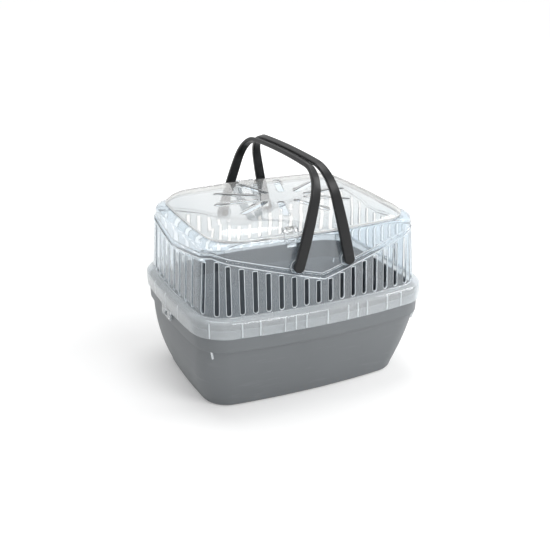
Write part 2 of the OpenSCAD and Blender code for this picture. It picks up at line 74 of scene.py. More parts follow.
@dataclass(frozen=True)
class Outline:
    """Rounded rectangle whose sides bow outward."""

    half_l: float
    half_d: float
    corner_r: float
    front_bow: float
    end_bow: float

    def arcs(self) -> np.ndarray:
        """Arcs of the first quarter.

        Returns:
            Three rows, for the end, the corner and the front: centre x, centre y, radius, first and last angle.
        """
        front_r = (self.half_l**2 + self.front_bow**2) / (2 * self.front_bow)
        end_r = (self.half_d**2 + self.end_bow**2) / (2 * self.end_bow)
        front_c = np.array([0.0, self.half_d - front_r])
        end_c = np.array([self.half_l - end_r, 0.0])
        r1, r2 = front_r - self.corner_r, end_r - self.corner_r
        between = float(np.linalg.norm(end_c - front_c))
        along = (end_c - front_c) / between
        t = (r1 * r1 - r2 * r2 + between * between) / (2 * between)
        corner_c = front_c + along * t + np.array([along[1], -along[0]]) * math.sqrt(r1 * r1 - t * t)
        end_a = math.atan2(corner_c[1] - end_c[1], corner_c[0] - end_c[0])
        front_a = math.atan2(corner_c[1] - front_c[1], corner_c[0] - front_c[0])
        return np.array([
            [*end_c, end_r, 0.0, end_a],
            [*corner_c, self.corner_r, end_a, front_a],
            [*front_c, front_r, front_a, math.pi / 2],
        ])

    def at(self, shares: np.ndarray) -> np.ndarray:
        """Points of the first quarter.

        Args:
            shares: Places from 0 to 3, one unit for each arc.

        Returns:
            Rows of x, y and the outward normal's x, y.
        """
        arcs = self.arcs()
        k = np.clip(np.floor(shares).astype(int), 0, 2)
        angle = arcs[k, 3] + (arcs[k, 4] - arcs[k, 3]) * (shares - k)
        nx, ny = np.cos(angle), np.sin(angle)
        return np.stack([arcs[k, 0] + arcs[k, 2] * nx, arcs[k, 1] + arcs[k, 2] * ny, nx, ny], axis=1)

    def lengths(self) -> np.ndarray:
        """Way along the quarter at the start of each arc, and at the end of the last."""
        arcs = self.arcs()
        return np.concatenate([[0.0], np.cumsum(arcs[:, 2] * (arcs[:, 4] - arcs[:, 3]))])

    def way(self, shares: np.ndarray) -> np.ndarray:
        """Way along the quarter, from the middle of the end, at each share."""
        return np.interp(shares, [0, 1, 2, 3], self.lengths())

    def share(self, ways: np.ndarray) -> np.ndarray:
        """Share of the quarter at each way along it."""
        return np.interp(ways, self.lengths(), [0, 1, 2, 3])

    def full(self, shares: np.ndarray) -> np.ndarray:
        """Whole outline, anticlockwise from +X, from the shares of one quarter."""
        return all_round(self.at(shares), (-1, 1, -1, 1), (1, -1, 1, -1))


def all_round(quarter: np.ndarray, left: Sequence[int], front: Sequence[int]) -> np.ndarray:
    """Closed loop from the rows of one quarter.

    Args:
        quarter: Rows from +X to the middle of the back.
        left: Signs of a row's mirror image in X.
        front: Signs of a row's mirror image in Y.

    Returns:
        The rows of the whole loop, anticlockwise.
    """
    half = np.concatenate([quarter, quarter[:-1][::-1] * left])
    return np.concatenate([half, half[1:-1][::-1] * front])


def quarter_shares(end: int, corner: int, front: int) -> np.ndarray:
    """Shares of a quarter outline with so many steps along its end, its corner and its front."""
    parts = [np.linspace(0, 1, end, endpoint=False), np.linspace(1, 2, corner, endpoint=False)]
    return np.concatenate([*parts, np.linspace(2, 3, front + 1)])


def ring(line: np.ndarray, out: np.ndarray | float, z: np.ndarray | float) -> np.ndarray:
    """Outline moved outward by out, at height z."""
    points = np.empty((len(line), 3))
    points[:, :2] = line[:, :2] + line[:, 2:] * np.reshape(out, (-1, 1))
    points[:, 2] = z
    return points


def rounded(corners: Sequence[tuple[float, float, float]], steps: int = 4) -> np.ndarray:
    """Polygon with rounded corners.

    Args:
        corners: Corners as (a, b, radius), anticlockwise.
        steps: Steps of each rounding.

    Returns:
        The points of the loop.
    """
    spots = np.array([c[:2] for c in corners], float)
    loop = []
    for i, (_, _, radius) in enumerate(corners):
        here, before, after = spots[i], spots[i - 1], spots[(i + 1) % len(spots)]
        if radius <= 0:
            loop.append(here)
            continue
        u = (before - here) / np.linalg.norm(before - here)
        w = (after - here) / np.linalg.norm(after - here)
        half = math.acos(float(np.clip(u @ w, -1, 1))) / 2
        centre = here + (u + w) / np.linalg.norm(u + w) * radius / math.sin(half)
        first = here + u * radius / math.tan(half) - centre
        last = here + w * radius / math.tan(half) - centre
        a0, a1 = math.atan2(first[1], first[0]), math.atan2(last[1], last[0])
        turn = (a1 - a0 + math.pi) % (2 * math.pi) - math.pi
        for k in range(steps + 1):
            a = a0 + turn * k / steps
            loop.append(centre + radius * np.array([math.cos(a), math.sin(a)]))
    return np.array(loop)


def circle(radius: float, count: int = 48, centre: tuple[float, float] = (0, 0)) -> np.ndarray:
    """Round loop, anticlockwise."""
    a = np.arange(count) * 2 * math.pi / count
    return np.stack([centre[0] + radius * np.cos(a), centre[1] + radius * np.sin(a)], axis=1)


def arc_points(
    centre: tuple[float, float], radius: float, start: float, end: float, count: int = 13
) -> list[tuple[float, float]]:
    """Points of a circle from one angle to another."""
    return [(centre[0] + radius * math.cos(a), centre[1] + radius * math.sin(a))
            for a in np.linspace(start, end, count)]


def rounding(radius: float, steps: int = 3) -> list[tuple[float, float]]:
    """Inset and depth of each row of a rounded edge, from the face to the side."""
    turns = [math.pi / 2 * k / steps for k in range(steps + 1)]
    return [(radius * (1 - math.sin(t)), radius * (1 - math.cos(t))) for t in turns]


def inset(loop: np.ndarray, distance: float) -> np.ndarray:
    """Anticlockwise loop moved inward, or clockwise loop moved outward."""
    def units(v: np.ndarray) -> np.ndarray:
        """Rows of v at length one."""
        return v / np.maximum(np.linalg.norm(v, axis=1, keepdims=True), 1e-12)

    e1, e2 = units(loop - np.roll(loop, 1, 0)), units(np.roll(loop, -1, 0) - loop)
    n1, n2 = np.stack([-e1[:, 1], e1[:, 0]], 1), np.stack([-e2[:, 1], e2[:, 0]], 1)
    return loop + (n1 + n2) / (1 + (n1 * n2).sum(1, keepdims=True)) * distance


def contains(loop: np.ndarray, points: np.ndarray) -> np.ndarray:
    """Which points lie inside a closed loop."""
    x, y = points[:, :1], points[:, 1:2]
    (x0, y0), (x1, y1) = loop.T, np.roll(loop, -1, 0).T
    with np.errstate(divide="ignore", invalid="ignore"):
        crossing = ((y0 > y) != (y1 > y)) & (x < (x1 - x0) * (y - y0) / (y1 - y0) + x0)
    return crossing.sum(1) % 2 == 1


def pierced_sheet(
    border: np.ndarray, holes: Sequence[np.ndarray], inside: np.ndarray
) -> tuple[np.ndarray, np.ndarray]:
    """Triangles of a flat sheet with holes.

    Args:
        border: Outer loop.
        holes: Loops of the holes.
        inside: Further points, off the loops.

    Returns:
        Points, and rows of three indices, anticlockwise.
    """
    loops, edges, start = [border, *holes], [], 0
    for loop in loops:
        n = len(loop)
        edges += [(start + i, start + (i + 1) % n) for i in range(n)]
        start += n
    points = np.concatenate([*loops, inside]) if len(inside) else np.concatenate(loops)
    out = delaunay_2d_cdt([Vector(p) for p in points], edges, [], 0, 1e-6)
    spots = np.array([tuple(v) for v in out[0]])
    tris = np.array([f for f in out[2] if len(f) == 3])
    middle = spots[tris].mean(1)
    keep = contains(border, middle)
    for hole in holes:
        keep &= ~contains(hole, middle)
    tris = tris[keep]
    a, b, c = spots[tris[:, 0]], spots[tris[:, 1]], spots[tris[:, 2]]
    area = (b - a)[:, 0] * (c - a)[:, 1] - (b - a)[:, 1] * (c - a)[:, 0]
    tris[area < 0] = tris[area < 0][:, ::-1]
    return spots, tris


class Solid:
    """Points in millimetres and faces of closed shapes, with one finish mark for each face."""

    def __init__(self) -> None:
        """Starts empty."""
        self.points = np.empty((0, 3))
        self.faces: list[tuple[int, ...]] = []
        self.marks: list[int] = []

    def put(self, points: np.ndarray, faces: Sequence[Sequence[int]], flip: bool = False) -> "Solid":
        """Adds faces over new points.

        Args:
            points: Rows of x, y, z.
            faces: Indices into these points.
            flip: Turns the faces round.

        Returns:
            This solid.
        """
        start = len(self.points)
        self.points = np.concatenate([self.points, points])
        for f in faces:
            row = tuple(int(i) + start for i in f)
            self.faces.append(row[::-1] if flip else row)
            self.marks.append(0)
        return self

    def grid(self, rows: Sequence[np.ndarray], closed: bool = False, marks: Sequence[int] | None = None) -> "Solid":
        """Adds a sheet of quads through rows of points.

        Args:
            rows: Rows that all have the same number of points.
            closed: Joins the last point of each row to the first.
            marks: Finish of each strip between two rows, or the first finish for all.

        Returns:
            This solid.
        """
        n = len(rows[0])
        start = len(self.points)
        self.points = np.concatenate([self.points, *rows])
        for j in range(len(rows) - 1):
            for i in range(n if closed else n - 1):
                e = (i + 1) % n
                a, b = start + j * n, start + (j + 1) * n
                self.faces.append((a + i, a + e, b + e, b + i))
                self.marks.append(marks[j] if marks else 0)
        return self

    def join(self, other: "Solid", mark: int | None = None) -> "Solid":
        """Adds another solid's faces."""
        start = len(self.points)
        self.points = np.concatenate([self.points, other.points])
        self.faces += [tuple(i + start for i in f) for f in other.faces]
        self.marks += other.marks if mark is None else [mark] * len(other.marks)
        return self

    def mirrored(self, sx: int, sy: int) -> "Solid":
        """Copy mirrored in X and Y, with its faces still outward."""
        copy = Solid()
        copy.points = self.points * [sx, sy, 1]
        copy.faces = [f[::-1] for f in self.faces] if sx * sy < 0 else list(self.faces)
        copy.marks = list(self.marks)
        return copy

    def copies(self, turns: Sequence[tuple[int, int]]) -> "Solid":
        """Mirrored copies in one solid, one for each pair of signs in X and Y."""
        made = Solid()
        for sx, sy in turns:
            made.join(self.mirrored(sx, sy))
        return made

    def moved(self, at: Sequence[float]) -> "Solid":
        """Copy with its origin at the given point."""
        return self.placed((1, 0, 0), (0, 1, 0), (0, 0, 1), at)

    def placed(self, a: Sequence[float], b: Sequence[float], c: Sequence[float], at: Sequence[float]) -> "Solid":
        """Copy whose three axes lie along a, b and c, with its origin at the given point."""
        copy = Solid()
        copy.points = self.points @ np.array([a, b, c], float) + np.array(at, float)
        copy.faces, copy.marks = list(self.faces), list(self.marks)
        return copy


def prism(loop: np.ndarray, length: float, bevel: float, holes: Sequence[np.ndarray] = (), steps: int = 3) -> Solid:
    """Straight solid with rounded edges, standing on its flat loop.

    Args:
        loop: Anticlockwise loop in the first two axes.
        length: Length along the third axis.
        bevel: Rounding of the edges at both ends.
        holes: Clockwise loops of through holes.
        steps: Steps of the rounding.

    Returns:
        The solid.
    """
    levels = rounding(bevel, steps)
    levels += [(d, length - c) for d, c in reversed(levels)]
    made = Solid()
    for line in [loop, *holes]:
        rows = [np.column_stack([inset(line, d), np.full(len(line), c)]) for d, c in levels]
        made.grid(rows, closed=True)
    spots, tris = pierced_sheet(inset(loop, bevel), [inset(h, bevel) for h in holes], np.empty((0, 2)))
    flat = np.column_stack([spots, np.zeros(len(spots))])
    made.put(flat, tris, flip=True)
    return made.put(flat + [0, 0, length], tris)


def along_x(loop: np.ndarray, x: float, length: float, bevel: float, holes: Sequence[np.ndarray] = ()) -> Solid:
    """Prism along +X from x, over a loop in Y and Z."""
    return prism(loop, length, bevel, holes).placed((0, 1, 0), (0, 0, 1), (1, 0, 0), (x, 0, 0))


def on_wall(spot: Sequence[float], loop: np.ndarray, thickness: float, bevel: float) -> Solid:
    """Plate of a thickness in the plane of an outline point's normal and +Z."""
    nx, ny = spot[2], spot[3]
    side = (ny, -nx, 0)
    at = (spot[0] - side[0] * thickness / 2, spot[1] - side[1] * thickness / 2, 0)
    return prism(loop, thickness, bevel).placed((nx, ny, 0), (0, 0, 1), side, at)


def make_object(name: str, solid: Solid, finishes: Sequence[bpy.types.Material], sharp: float = 38) -> bpy.types.Object:
    """Scene object of a solid.

    Args:
        name: Name of the piece.
        solid: Its shape, in millimetres.
        finishes: Materials, in the order of the marks.
        sharp: Angle in degrees past which an edge stays sharp.

    Returns:
        The linked object, at the origin.
    """
    mesh = bpy.data.meshes.new(name)
    mesh.from_pydata((solid.points * MM).tolist(), [], solid.faces)
    for finish in finishes:
        mesh.materials.append(finish)
    mesh.polygons.foreach_set("material_index", solid.marks)
    shape = bmesh.new()
    shape.from_mesh(mesh)
    bmesh.ops.remove_doubles(shape, verts=shape.verts, dist=3e-6)
    bmesh.ops.dissolve_degenerate(shape, dist=1e-7, edges=shape.edges)
    shape.to_mesh(mesh)
    shape.free()
    return link_mesh(name, mesh, sharp)


def linked(name: str, data: bpy.types.ID) -> bpy.types.Object:
    """New object over its data, in the scene."""
    made = bpy.data.objects.new(name, data)
    bpy.context.scene.collection.objects.link(made)
    return made


def link_mesh(name: str, mesh: bpy.types.Mesh, sharp: float) -> bpy.types.Object:
    """Links a mesh as a smooth object whose edges past an angle in degrees stay sharp."""
    mesh.shade_smooth()
    mesh.set_sharp_from_angle(angle=math.radians(sharp))
    return linked(name, mesh)


def baked(holder: bpy.types.Object) -> bpy.types.Mesh:
    """Mesh that an object's modifiers give. The object is removed."""
    graph = bpy.context.evaluated_depsgraph_get()
    mesh = bpy.data.meshes.new_from_object(holder.evaluated_get(graph), depsgraph=graph)
    holder.modifiers.clear()
    bpy.data.objects.remove(holder)
    return mesh


def settle(piece: bpy.types.Object, body: Body, replaces: str | None = None) -> bpy.types.Object:
    """Puts a piece on its body and reports it.

    Args:
        piece: The finished piece.
        body: The body that it rides on.
        replaces: CAD node that it stands for.

    Returns:
        The piece.
    """
    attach(piece, body.value)
    if replaces:
        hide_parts(replaces)
    LOG.info("%s: %d faces, on %s", piece.name, len(piece.data.polygons), body.value)
    return piece


class Graph:
    """Short hand for adding and joining the nodes of one tree."""

    def __init__(self, tree: bpy.types.NodeTree) -> None:
        """Takes an empty tree."""
        self.tree = tree

    def node(self, kind: str, inputs: dict[str | int, object] | None = None, **settings: object) -> bpy.types.Node:
        """Adds a node.

        Args:
            kind: Type of the node.
            inputs: Value of each input, or the socket that is joined to it, by name or place.
            settings: Properties of the node.

        Returns:
            The node.
        """
        made = self.tree.nodes.new(kind)
        for key, value in settings.items():
            setattr(made, key, value)
        for key, value in (inputs or {}).items():
            if isinstance(value, bpy.types.NodeSocket):
                self.tree.links.new(value, made.inputs[key])
            else:
                made.inputs[key].default_value = value
        return made

    def math(
        self, operation: str, a: bpy.types.NodeSocket | float, b: bpy.types.NodeSocket | float
    ) -> bpy.types.NodeSocket:
        """Adds a Math node and gives its output."""
        return self.node("ShaderNodeMath", {0: a, 1: b}, operation=operation).outputs[0]


def new_group(
    kind: str, name: str, inputs: dict[str, tuple[str, object]], outputs: dict[str, str]
) -> bpy.types.NodeTree:
    """Node group with named sockets.

    Args:
        kind: Type of the tree.
        name: Name of the group.
        inputs: Socket type and first value of each input.
        outputs: Socket type of each output.

    Returns:
        The group, with no nodes yet.
    """
    group = bpy.data.node_groups.new(name, kind)
    for label, (socket, value) in inputs.items():
        made = group.interface.new_socket(name=label, in_out="INPUT", socket_type=socket)
        if value is not None:
            made.default_value = value
    for label, socket in outputs.items():
        group.interface.new_socket(name=label, in_out="OUTPUT", socket_type=socket)
    return group


class SurfaceGroups:
    """Shader groups that more than one finish uses."""

    def __init__(self) -> None:
        """Builds each group once."""
        self.grain = self.moulded_grain()
        self.flow = self.flow_marks()

    @staticmethod
    def moulded_grain() -> bpy.types.NodeTree:
        """Fine eroded-mould grain, with a slow mottle and faint scuffs."""
        group = new_group(
            "ShaderNodeTree", "moulded grain",
            {"Vector": ("NodeSocketVector", None), "Grain scale": ("NodeSocketFloat", 900.0),
             "Mottle scale": ("NodeSocketFloat", 14.0), "Scuff scale": ("NodeSocketFloat", 60.0)},
            {"Height": "NodeSocketFloat", "Mottle": "NodeSocketFloat", "Scuff": "NodeSocketFloat"})
        g = Graph(group)
        given = g.node("NodeGroupInput").outputs
        where, grain_scale = given["Vector"], given["Grain scale"]
        grain = g.node("ShaderNodeTexNoise", {"Vector": where, "Scale": grain_scale, "Detail": 3.0, "Roughness": 0.6})
        pits = g.node("ShaderNodeTexVoronoi", {"Vector": where, "Scale": grain_scale}, feature="SMOOTH_F1")
        mottle = g.node("ShaderNodeTexNoise", {"Vector": where, "Scale": given["Mottle scale"], "Detail": 4.0,
                                               "Roughness": 0.55})
        stretch = g.node("ShaderNodeMapping", {"Vector": where, "Scale": (0.35, 0.35, 1.9)})
        scuff = g.node("ShaderNodeTexNoise", {"Vector": stretch.outputs[0], "Scale": given["Scuff scale"],
                                              "Detail": 5.0, "Roughness": 0.7})
        scuff_cut = g.node("ShaderNodeMapRange", {"Value": scuff.outputs["Fac"], "From Min": 0.56, "From Max": 0.74})
        height = g.math("ADD", grain.outputs["Fac"], g.math("MULTIPLY", pits.outputs["Distance"], 0.5))
        g.node("NodeGroupOutput", {"Height": height, "Mottle": mottle.outputs["Fac"],
                                   "Scuff": scuff_cut.outputs["Result"]})
        return group

    @staticmethod
    def flow_marks() -> bpy.types.NodeTree:
        """Slow waves and haze that the melt leaves in a clear moulding."""
        group = new_group(
            "ShaderNodeTree", "flow marks",
            {"Vector": ("NodeSocketVector", None), "Wave scale": ("NodeSocketFloat", 22.0),
             "Haze scale": ("NodeSocketFloat", 9.0)},
            {"Height": "NodeSocketFloat", "Haze": "NodeSocketFloat"})
        g = Graph(group)
        given = g.node("NodeGroupInput").outputs
        stretch = g.node("ShaderNodeMapping", {"Vector": given["Vector"], "Scale": (1.0, 1.0, 0.45)})
        wave = g.node("ShaderNodeTexNoise", {"Vector": stretch.outputs[0], "Scale": given["Wave scale"],
                                             "Detail": 1.0, "Distortion": 0.6})
        haze = g.node("ShaderNodeTexNoise", {"Vector": given["Vector"], "Scale": given["Haze scale"],
                                             "Detail": 3.0, "Roughness": 0.5})
        haze_cut = g.node("ShaderNodeMapRange", {"Value": haze.outputs["Fac"], "From Min": 0.35, "From Max": 0.7})
        g.node("NodeGroupOutput", {"Height": wave.outputs["Fac"], "Haze": haze_cut.outputs["Result"]})
        return group


def new_material(name: str) -> tuple[bpy.types.Material, Graph]:
    """Empty node material and its graph."""
    made = bpy.data.materials.new(name)
    made.use_nodes = True
    made.node_tree.nodes.clear()
    return made, Graph(made.node_tree)


def between(g: Graph, mask: bpy.types.NodeSocket, low: float, high: float) -> bpy.types.NodeSocket:
    """Value from low to high as a mask goes from 0 to 1."""
    return g.node("ShaderNodeMapRange", {"Value": mask, "To Min": low, "To Max": high}).outputs["Result"]


def blend_colours(
    g: Graph, mask: bpy.types.NodeSocket, low: Sequence[float] | bpy.types.NodeSocket, high: Sequence[float]
) -> bpy.types.NodeSocket:
    """Colour from low to high as a mask goes from 0 to 1."""
    first = low if isinstance(low, bpy.types.NodeSocket) else (*low, 1)
    return g.node("ShaderNodeMix", {"Factor": mask, 6: first, 7: (*high, 1)}, data_type="RGBA").outputs[2]


def seen_rays(g: Graph) -> bpy.types.NodeSocket:
    """One for rays that carry what the eye sees: direct, mirrored or through clear plastic."""
    path = g.node("ShaderNodeLightPath").outputs
    direct = g.math("MAXIMUM", path["Is Camera Ray"], path["Is Glossy Ray"])
    return g.math("MAXIMUM", direct, path["Is Transmission Ray"])


@dataclass(frozen=True)
class MouldedFinish:
    """Opaque satin plastic with a fine grain."""

    name: str
    dark: tuple[float, float, float]
    pale: tuple[float, float, float]
    scuffed: tuple[float, float, float]
    roughness: tuple[float, float]
    grain_scale: float
    grain_depth: float
    specular: float = 0.5
    scuff_level: float = 0.35

    def build(self, groups: SurfaceGroups) -> bpy.types.Material:
        """Builds the material.

        Args:
            groups: The shared shader groups.

        Returns:
            The material.
        """
        made, g = new_material(self.name)
        where = g.node("ShaderNodeTexCoord").outputs["Object"]
        grain = g.node("ShaderNodeGroup", {"Vector": where, "Grain scale": self.grain_scale}, node_tree=groups.grain)
        mottle = grain.outputs["Mottle"]
        scuffs = g.math("MULTIPLY", grain.outputs["Scuff"], self.scuff_level)
        colour = blend_colours(g, scuffs, blend_colours(g, mottle, self.dark, self.pale), self.scuffed)
        bump = g.node("ShaderNodeBump", {"Strength": 0.5, "Distance": self.grain_depth * MM,
                                         "Height": grain.outputs["Height"]})
        shade = g.node("ShaderNodeBsdfPrincipled", {
            "Base Color": colour, "Roughness": between(g, mottle, *self.roughness),
            "Specular IOR Level": self.specular, "Normal": bump.outputs[0]})
        g.node("ShaderNodeOutputMaterial", {"Surface": shade.outputs[0]})
        return made


@dataclass(frozen=True)
class ClearFinish:
    """Clear plastic with a faint tint, haze and flow marks. Part of the lamps' light passes straight through."""

    name: str
    tint: tuple[float, float, float]
    hazed: tuple[float, float, float]
    transmission: float
    roughness: tuple[float, float]
    wave_depth: float
    shadow: tuple[float, float, float]
    ior: float = 1.46

    def build(self, groups: SurfaceGroups) -> bpy.types.Material:
        """Builds the material.

        Args:
            groups: The shared shader groups.

        Returns:
            The material.
        """
        made, g = new_material(self.name)
        where = g.node("ShaderNodeTexCoord").outputs["Object"]
        flow = g.node("ShaderNodeGroup", {"Vector": where}, node_tree=groups.flow)
        haze = flow.outputs["Haze"]
        bump = g.node("ShaderNodeBump", {"Strength": 0.4, "Distance": self.wave_depth * MM,
                                         "Height": flow.outputs["Height"]})
        shade = g.node("ShaderNodeBsdfPrincipled", {
            "Base Color": blend_colours(g, haze, self.tint, self.hazed),
            "Roughness": between(g, haze, *self.roughness), "IOR": self.ior,
            "Transmission Weight": self.transmission, "Normal": bump.outputs[0]})
        clear = g.node("ShaderNodeBsdfTransparent", {"Color": (*self.shadow, 1)})
        in_shadow = g.node("ShaderNodeLightPath").outputs["Is Shadow Ray"]
        mix = g.node("ShaderNodeMixShader", {"Fac": in_shadow, 1: shade.outputs[0], 2: clear.outputs[0]})
        g.node("ShaderNodeOutputMaterial", {"Surface": mix.outputs[0]})
        return made


@dataclass(frozen=True)
class Finishes:
    """The finishes of the carrier."""

    tray: bpy.types.Material
    inside: bpy.types.Material
    wall: bpy.types.Material
    skirt: bpy.types.Material
    lid: bpy.types.Material
    rim: bpy.types.Material
    latch: bpy.types.Material
    strap: bpy.types.Material


def build_finishes() -> Finishes:
    """Builds every finish over the shared groups."""
    groups = SurfaceGroups()
    tray = MouldedFinish("satin grey tray", (0.168, 0.181, 0.191), (0.196, 0.21, 0.221), (0.27, 0.285, 0.295),
                         (0.4, 0.52), 1100, 0.06, specular=0.42)
    # Painted shade: the tray's inside is the same grey plastic as its outside, coloured much darker because it lies in
    # shade within the cage.
    inside = MouldedFinish("shaded tray inside", (0.058, 0.068, 0.078), (0.074, 0.084, 0.094), (0.1, 0.11, 0.12),
                           (0.45, 0.58), 1100, 0.06, specular=0.3)
    strap = MouldedFinish("black strap", (0.006, 0.0064, 0.0072), (0.011, 0.0114, 0.0125), (0.03, 0.03, 0.032),
                          (0.28, 0.42), 1500, 0.04, specular=0.32)
    # Pale frosted plastic for the tray's fins and the skirt's ribs. On the thin beads round the slots, vents and
    # bosses, along the ledge and the lid's edge, this pale colour is a painted highlight.
    rim = MouldedFinish("pale plastic and painted highlight", (0.72, 0.76, 0.79), (0.8, 0.83, 0.85), (0.86, 0.88, 0.9),
                        (0.2, 0.32), 1500, 0.02)
    wall = ClearFinish("clear wall", (0.78, 0.85, 0.9), (0.845, 0.885, 0.915), 0.9,
                       (0.02, 0.07), 0.25, (0.6, 0.63, 0.66))
    skirt = ClearFinish("hazy skirt", (0.8, 0.84, 0.86), (0.86, 0.885, 0.9), 0.74,
                        (0.07, 0.15), 0.2, (0.84, 0.86, 0.87))
    lid = ClearFinish("clear lid", (0.87, 0.87, 0.86), (0.89, 0.89, 0.88), 0.9,
                      (0.015, 0.05), 0.25, (0.64, 0.65, 0.65))
    latch = ClearFinish("clear latch", (0.88, 0.9, 0.91), (0.9, 0.92, 0.93), 0.9,
                        (0.03, 0.08), 0.1, (0.7, 0.72, 0.74))
    return Finishes(tray.build(groups), inside.build(groups), wall.build(groups), skirt.build(groups),
                    lid.build(groups), rim.build(groups), latch.build(groups), strap.build(groups))


class RepeatTrees:
    """Geometry node trees for what repeats or follows a path."""

    def __init__(self) -> None:
        """Builds each tree once."""
        self.ribs = self.rib_rows()
        self.bead = self.bead_path()

    @staticmethod
    def rib_rows() -> bpy.types.NodeTree:
        """One rounded bar on each point, turned by the point's attribute named turn."""
        tree = new_group(
            "GeometryNodeTree", "rows of ribs",
            {"Geometry": ("NodeSocketGeometry", None), "Length": ("NodeSocketFloat", 0.01),
             "Reach": ("NodeSocketFloat", 0.004), "Thickness": ("NodeSocketFloat", 0.0016),
             "Rounding": ("NodeSocketFloat", 0.0004), "Finish": ("NodeSocketMaterial", None)},
            {"Geometry": "NodeSocketGeometry"})
        g = Graph(tree)
        given = g.node("NodeGroupInput").outputs
        section = g.node("GeometryNodeCurvePrimitiveQuadrilateral",
                         {"Width": given["Reach"], "Height": given["Thickness"]})
        soft = g.node("GeometryNodeFilletCurve", {"Curve": section.outputs[0], "Radius": given["Rounding"], "Count": 3,
                                                  "Limit Radius": True}, mode="POLY")
        top = g.node("ShaderNodeCombineXYZ", {"Z": given["Length"]})
        line = g.node("GeometryNodeCurvePrimitiveLine", {"End": top.outputs[0]})
        bar = g.node("GeometryNodeCurveToMesh", {"Curve": line.outputs[0], "Profile Curve": soft.outputs[0],
                                                 "Fill Caps": True})
        turn = g.node("GeometryNodeInputNamedAttribute", {"Name": "turn"}, data_type="FLOAT_VECTOR")
        places = g.node("GeometryNodeInstanceOnPoints", {"Points": given["Geometry"], "Instance": bar.outputs[0],
                                                         "Rotation": turn.outputs[0]})
        RepeatTrees.dress(g, places.outputs[0], given["Finish"])
        return tree

    @staticmethod
    def dress(g: Graph, shape: bpy.types.NodeSocket, finish: bpy.types.NodeSocket) -> None:
        """Makes a shape real, gives it its finish and puts it out."""
        real = g.node("GeometryNodeRealizeInstances", {0: shape})
        dressed = g.node("GeometryNodeSetMaterial", {"Geometry": real.outputs[0], "Material": finish})
        g.node("NodeGroupOutput", {0: dressed.outputs[0]})

    @staticmethod
    def bead_path() -> bpy.types.NodeTree:
        """Round bead along every chain of edges."""
        tree = new_group(
            "GeometryNodeTree", "bead along a path",
            {"Geometry": ("NodeSocketGeometry", None), "Radius": ("NodeSocketFloat", 0.0004),
             "Finish": ("NodeSocketMaterial", None)},
            {"Geometry": "NodeSocketGeometry"})
        g = Graph(tree)
        given = g.node("NodeGroupInput").outputs
        path = g.node("GeometryNodeMeshToCurve", {"Mesh": given["Geometry"]})
        section = g.node("GeometryNodeCurvePrimitiveCircle", {"Radius": given["Radius"], "Resolution": 6})
        bead = g.node("GeometryNodeCurveToMesh", {"Curve": path.outputs[0], "Profile Curve": section.outputs[0],
                                                  "Fill Caps": True})
        RepeatTrees.dress(g, bead.outputs[0], given["Finish"])
        return tree


def grow(name: str, guide: bpy.types.Mesh, tree: bpy.types.NodeTree, values: dict[str, object]) -> bpy.types.Object:
    """Runs a tree over a guide mesh and keeps the result as a plain piece.

    Args:
        name: Name of the piece.
        guide: Points or edges that the tree works on.
        tree: The geometry node tree.
        values: Values of its named inputs.

    Returns:
        The piece.
    """
    holder = linked(name + "_guide", guide)
    modifier = holder.modifiers.new("grow", "NODES")
    modifier.node_group = tree
    for item in tree.interface.items_tree:
        if item.item_type == "SOCKET" and item.in_out == "INPUT" and item.name in values:
            modifier[item.identifier] = values[item.name]
    mesh = baked(holder)
    mesh.name = name
    return link_mesh(name, mesh, 50)


def point_guide(places: Sequence[tuple[np.ndarray, Matrix]]) -> bpy.types.Mesh:
    """Loose points with their turns.

    Args:
        places: Position in millimetres and rotation matrix of each point.

    Returns:
        The guide mesh.
    """
    mesh = bpy.data.meshes.new("guide")
    mesh.from_pydata([tuple(np.asarray(p) * MM) for p, _ in places], [], [])
    turn = mesh.attributes.new("turn", "FLOAT_VECTOR", "POINT")
    turn.data.foreach_set("vector", [v for _, m in places for v in m.to_euler("XYZ")])
    return mesh


def path_guide(loops: Sequence[np.ndarray]) -> bpy.types.Mesh:
    """Closed chains of edges through rows of points in millimetres."""
    mesh = bpy.data.meshes.new("guide")
    points, edges = [], []
    for loop in loops:
        start, n = len(points), len(loop)
        points += (loop * MM).tolist()
        edges += [(start + i, start + (i + 1) % n) for i in range(n)]
    mesh.from_pydata(points, edges, [])
    return mesh


def facing(x: Sequence[float], y: Sequence[float], z: Sequence[float]) -> Matrix:
    """Rotation that puts the three axes along x, y and z."""
    return Matrix((x, y, z)).transposed()


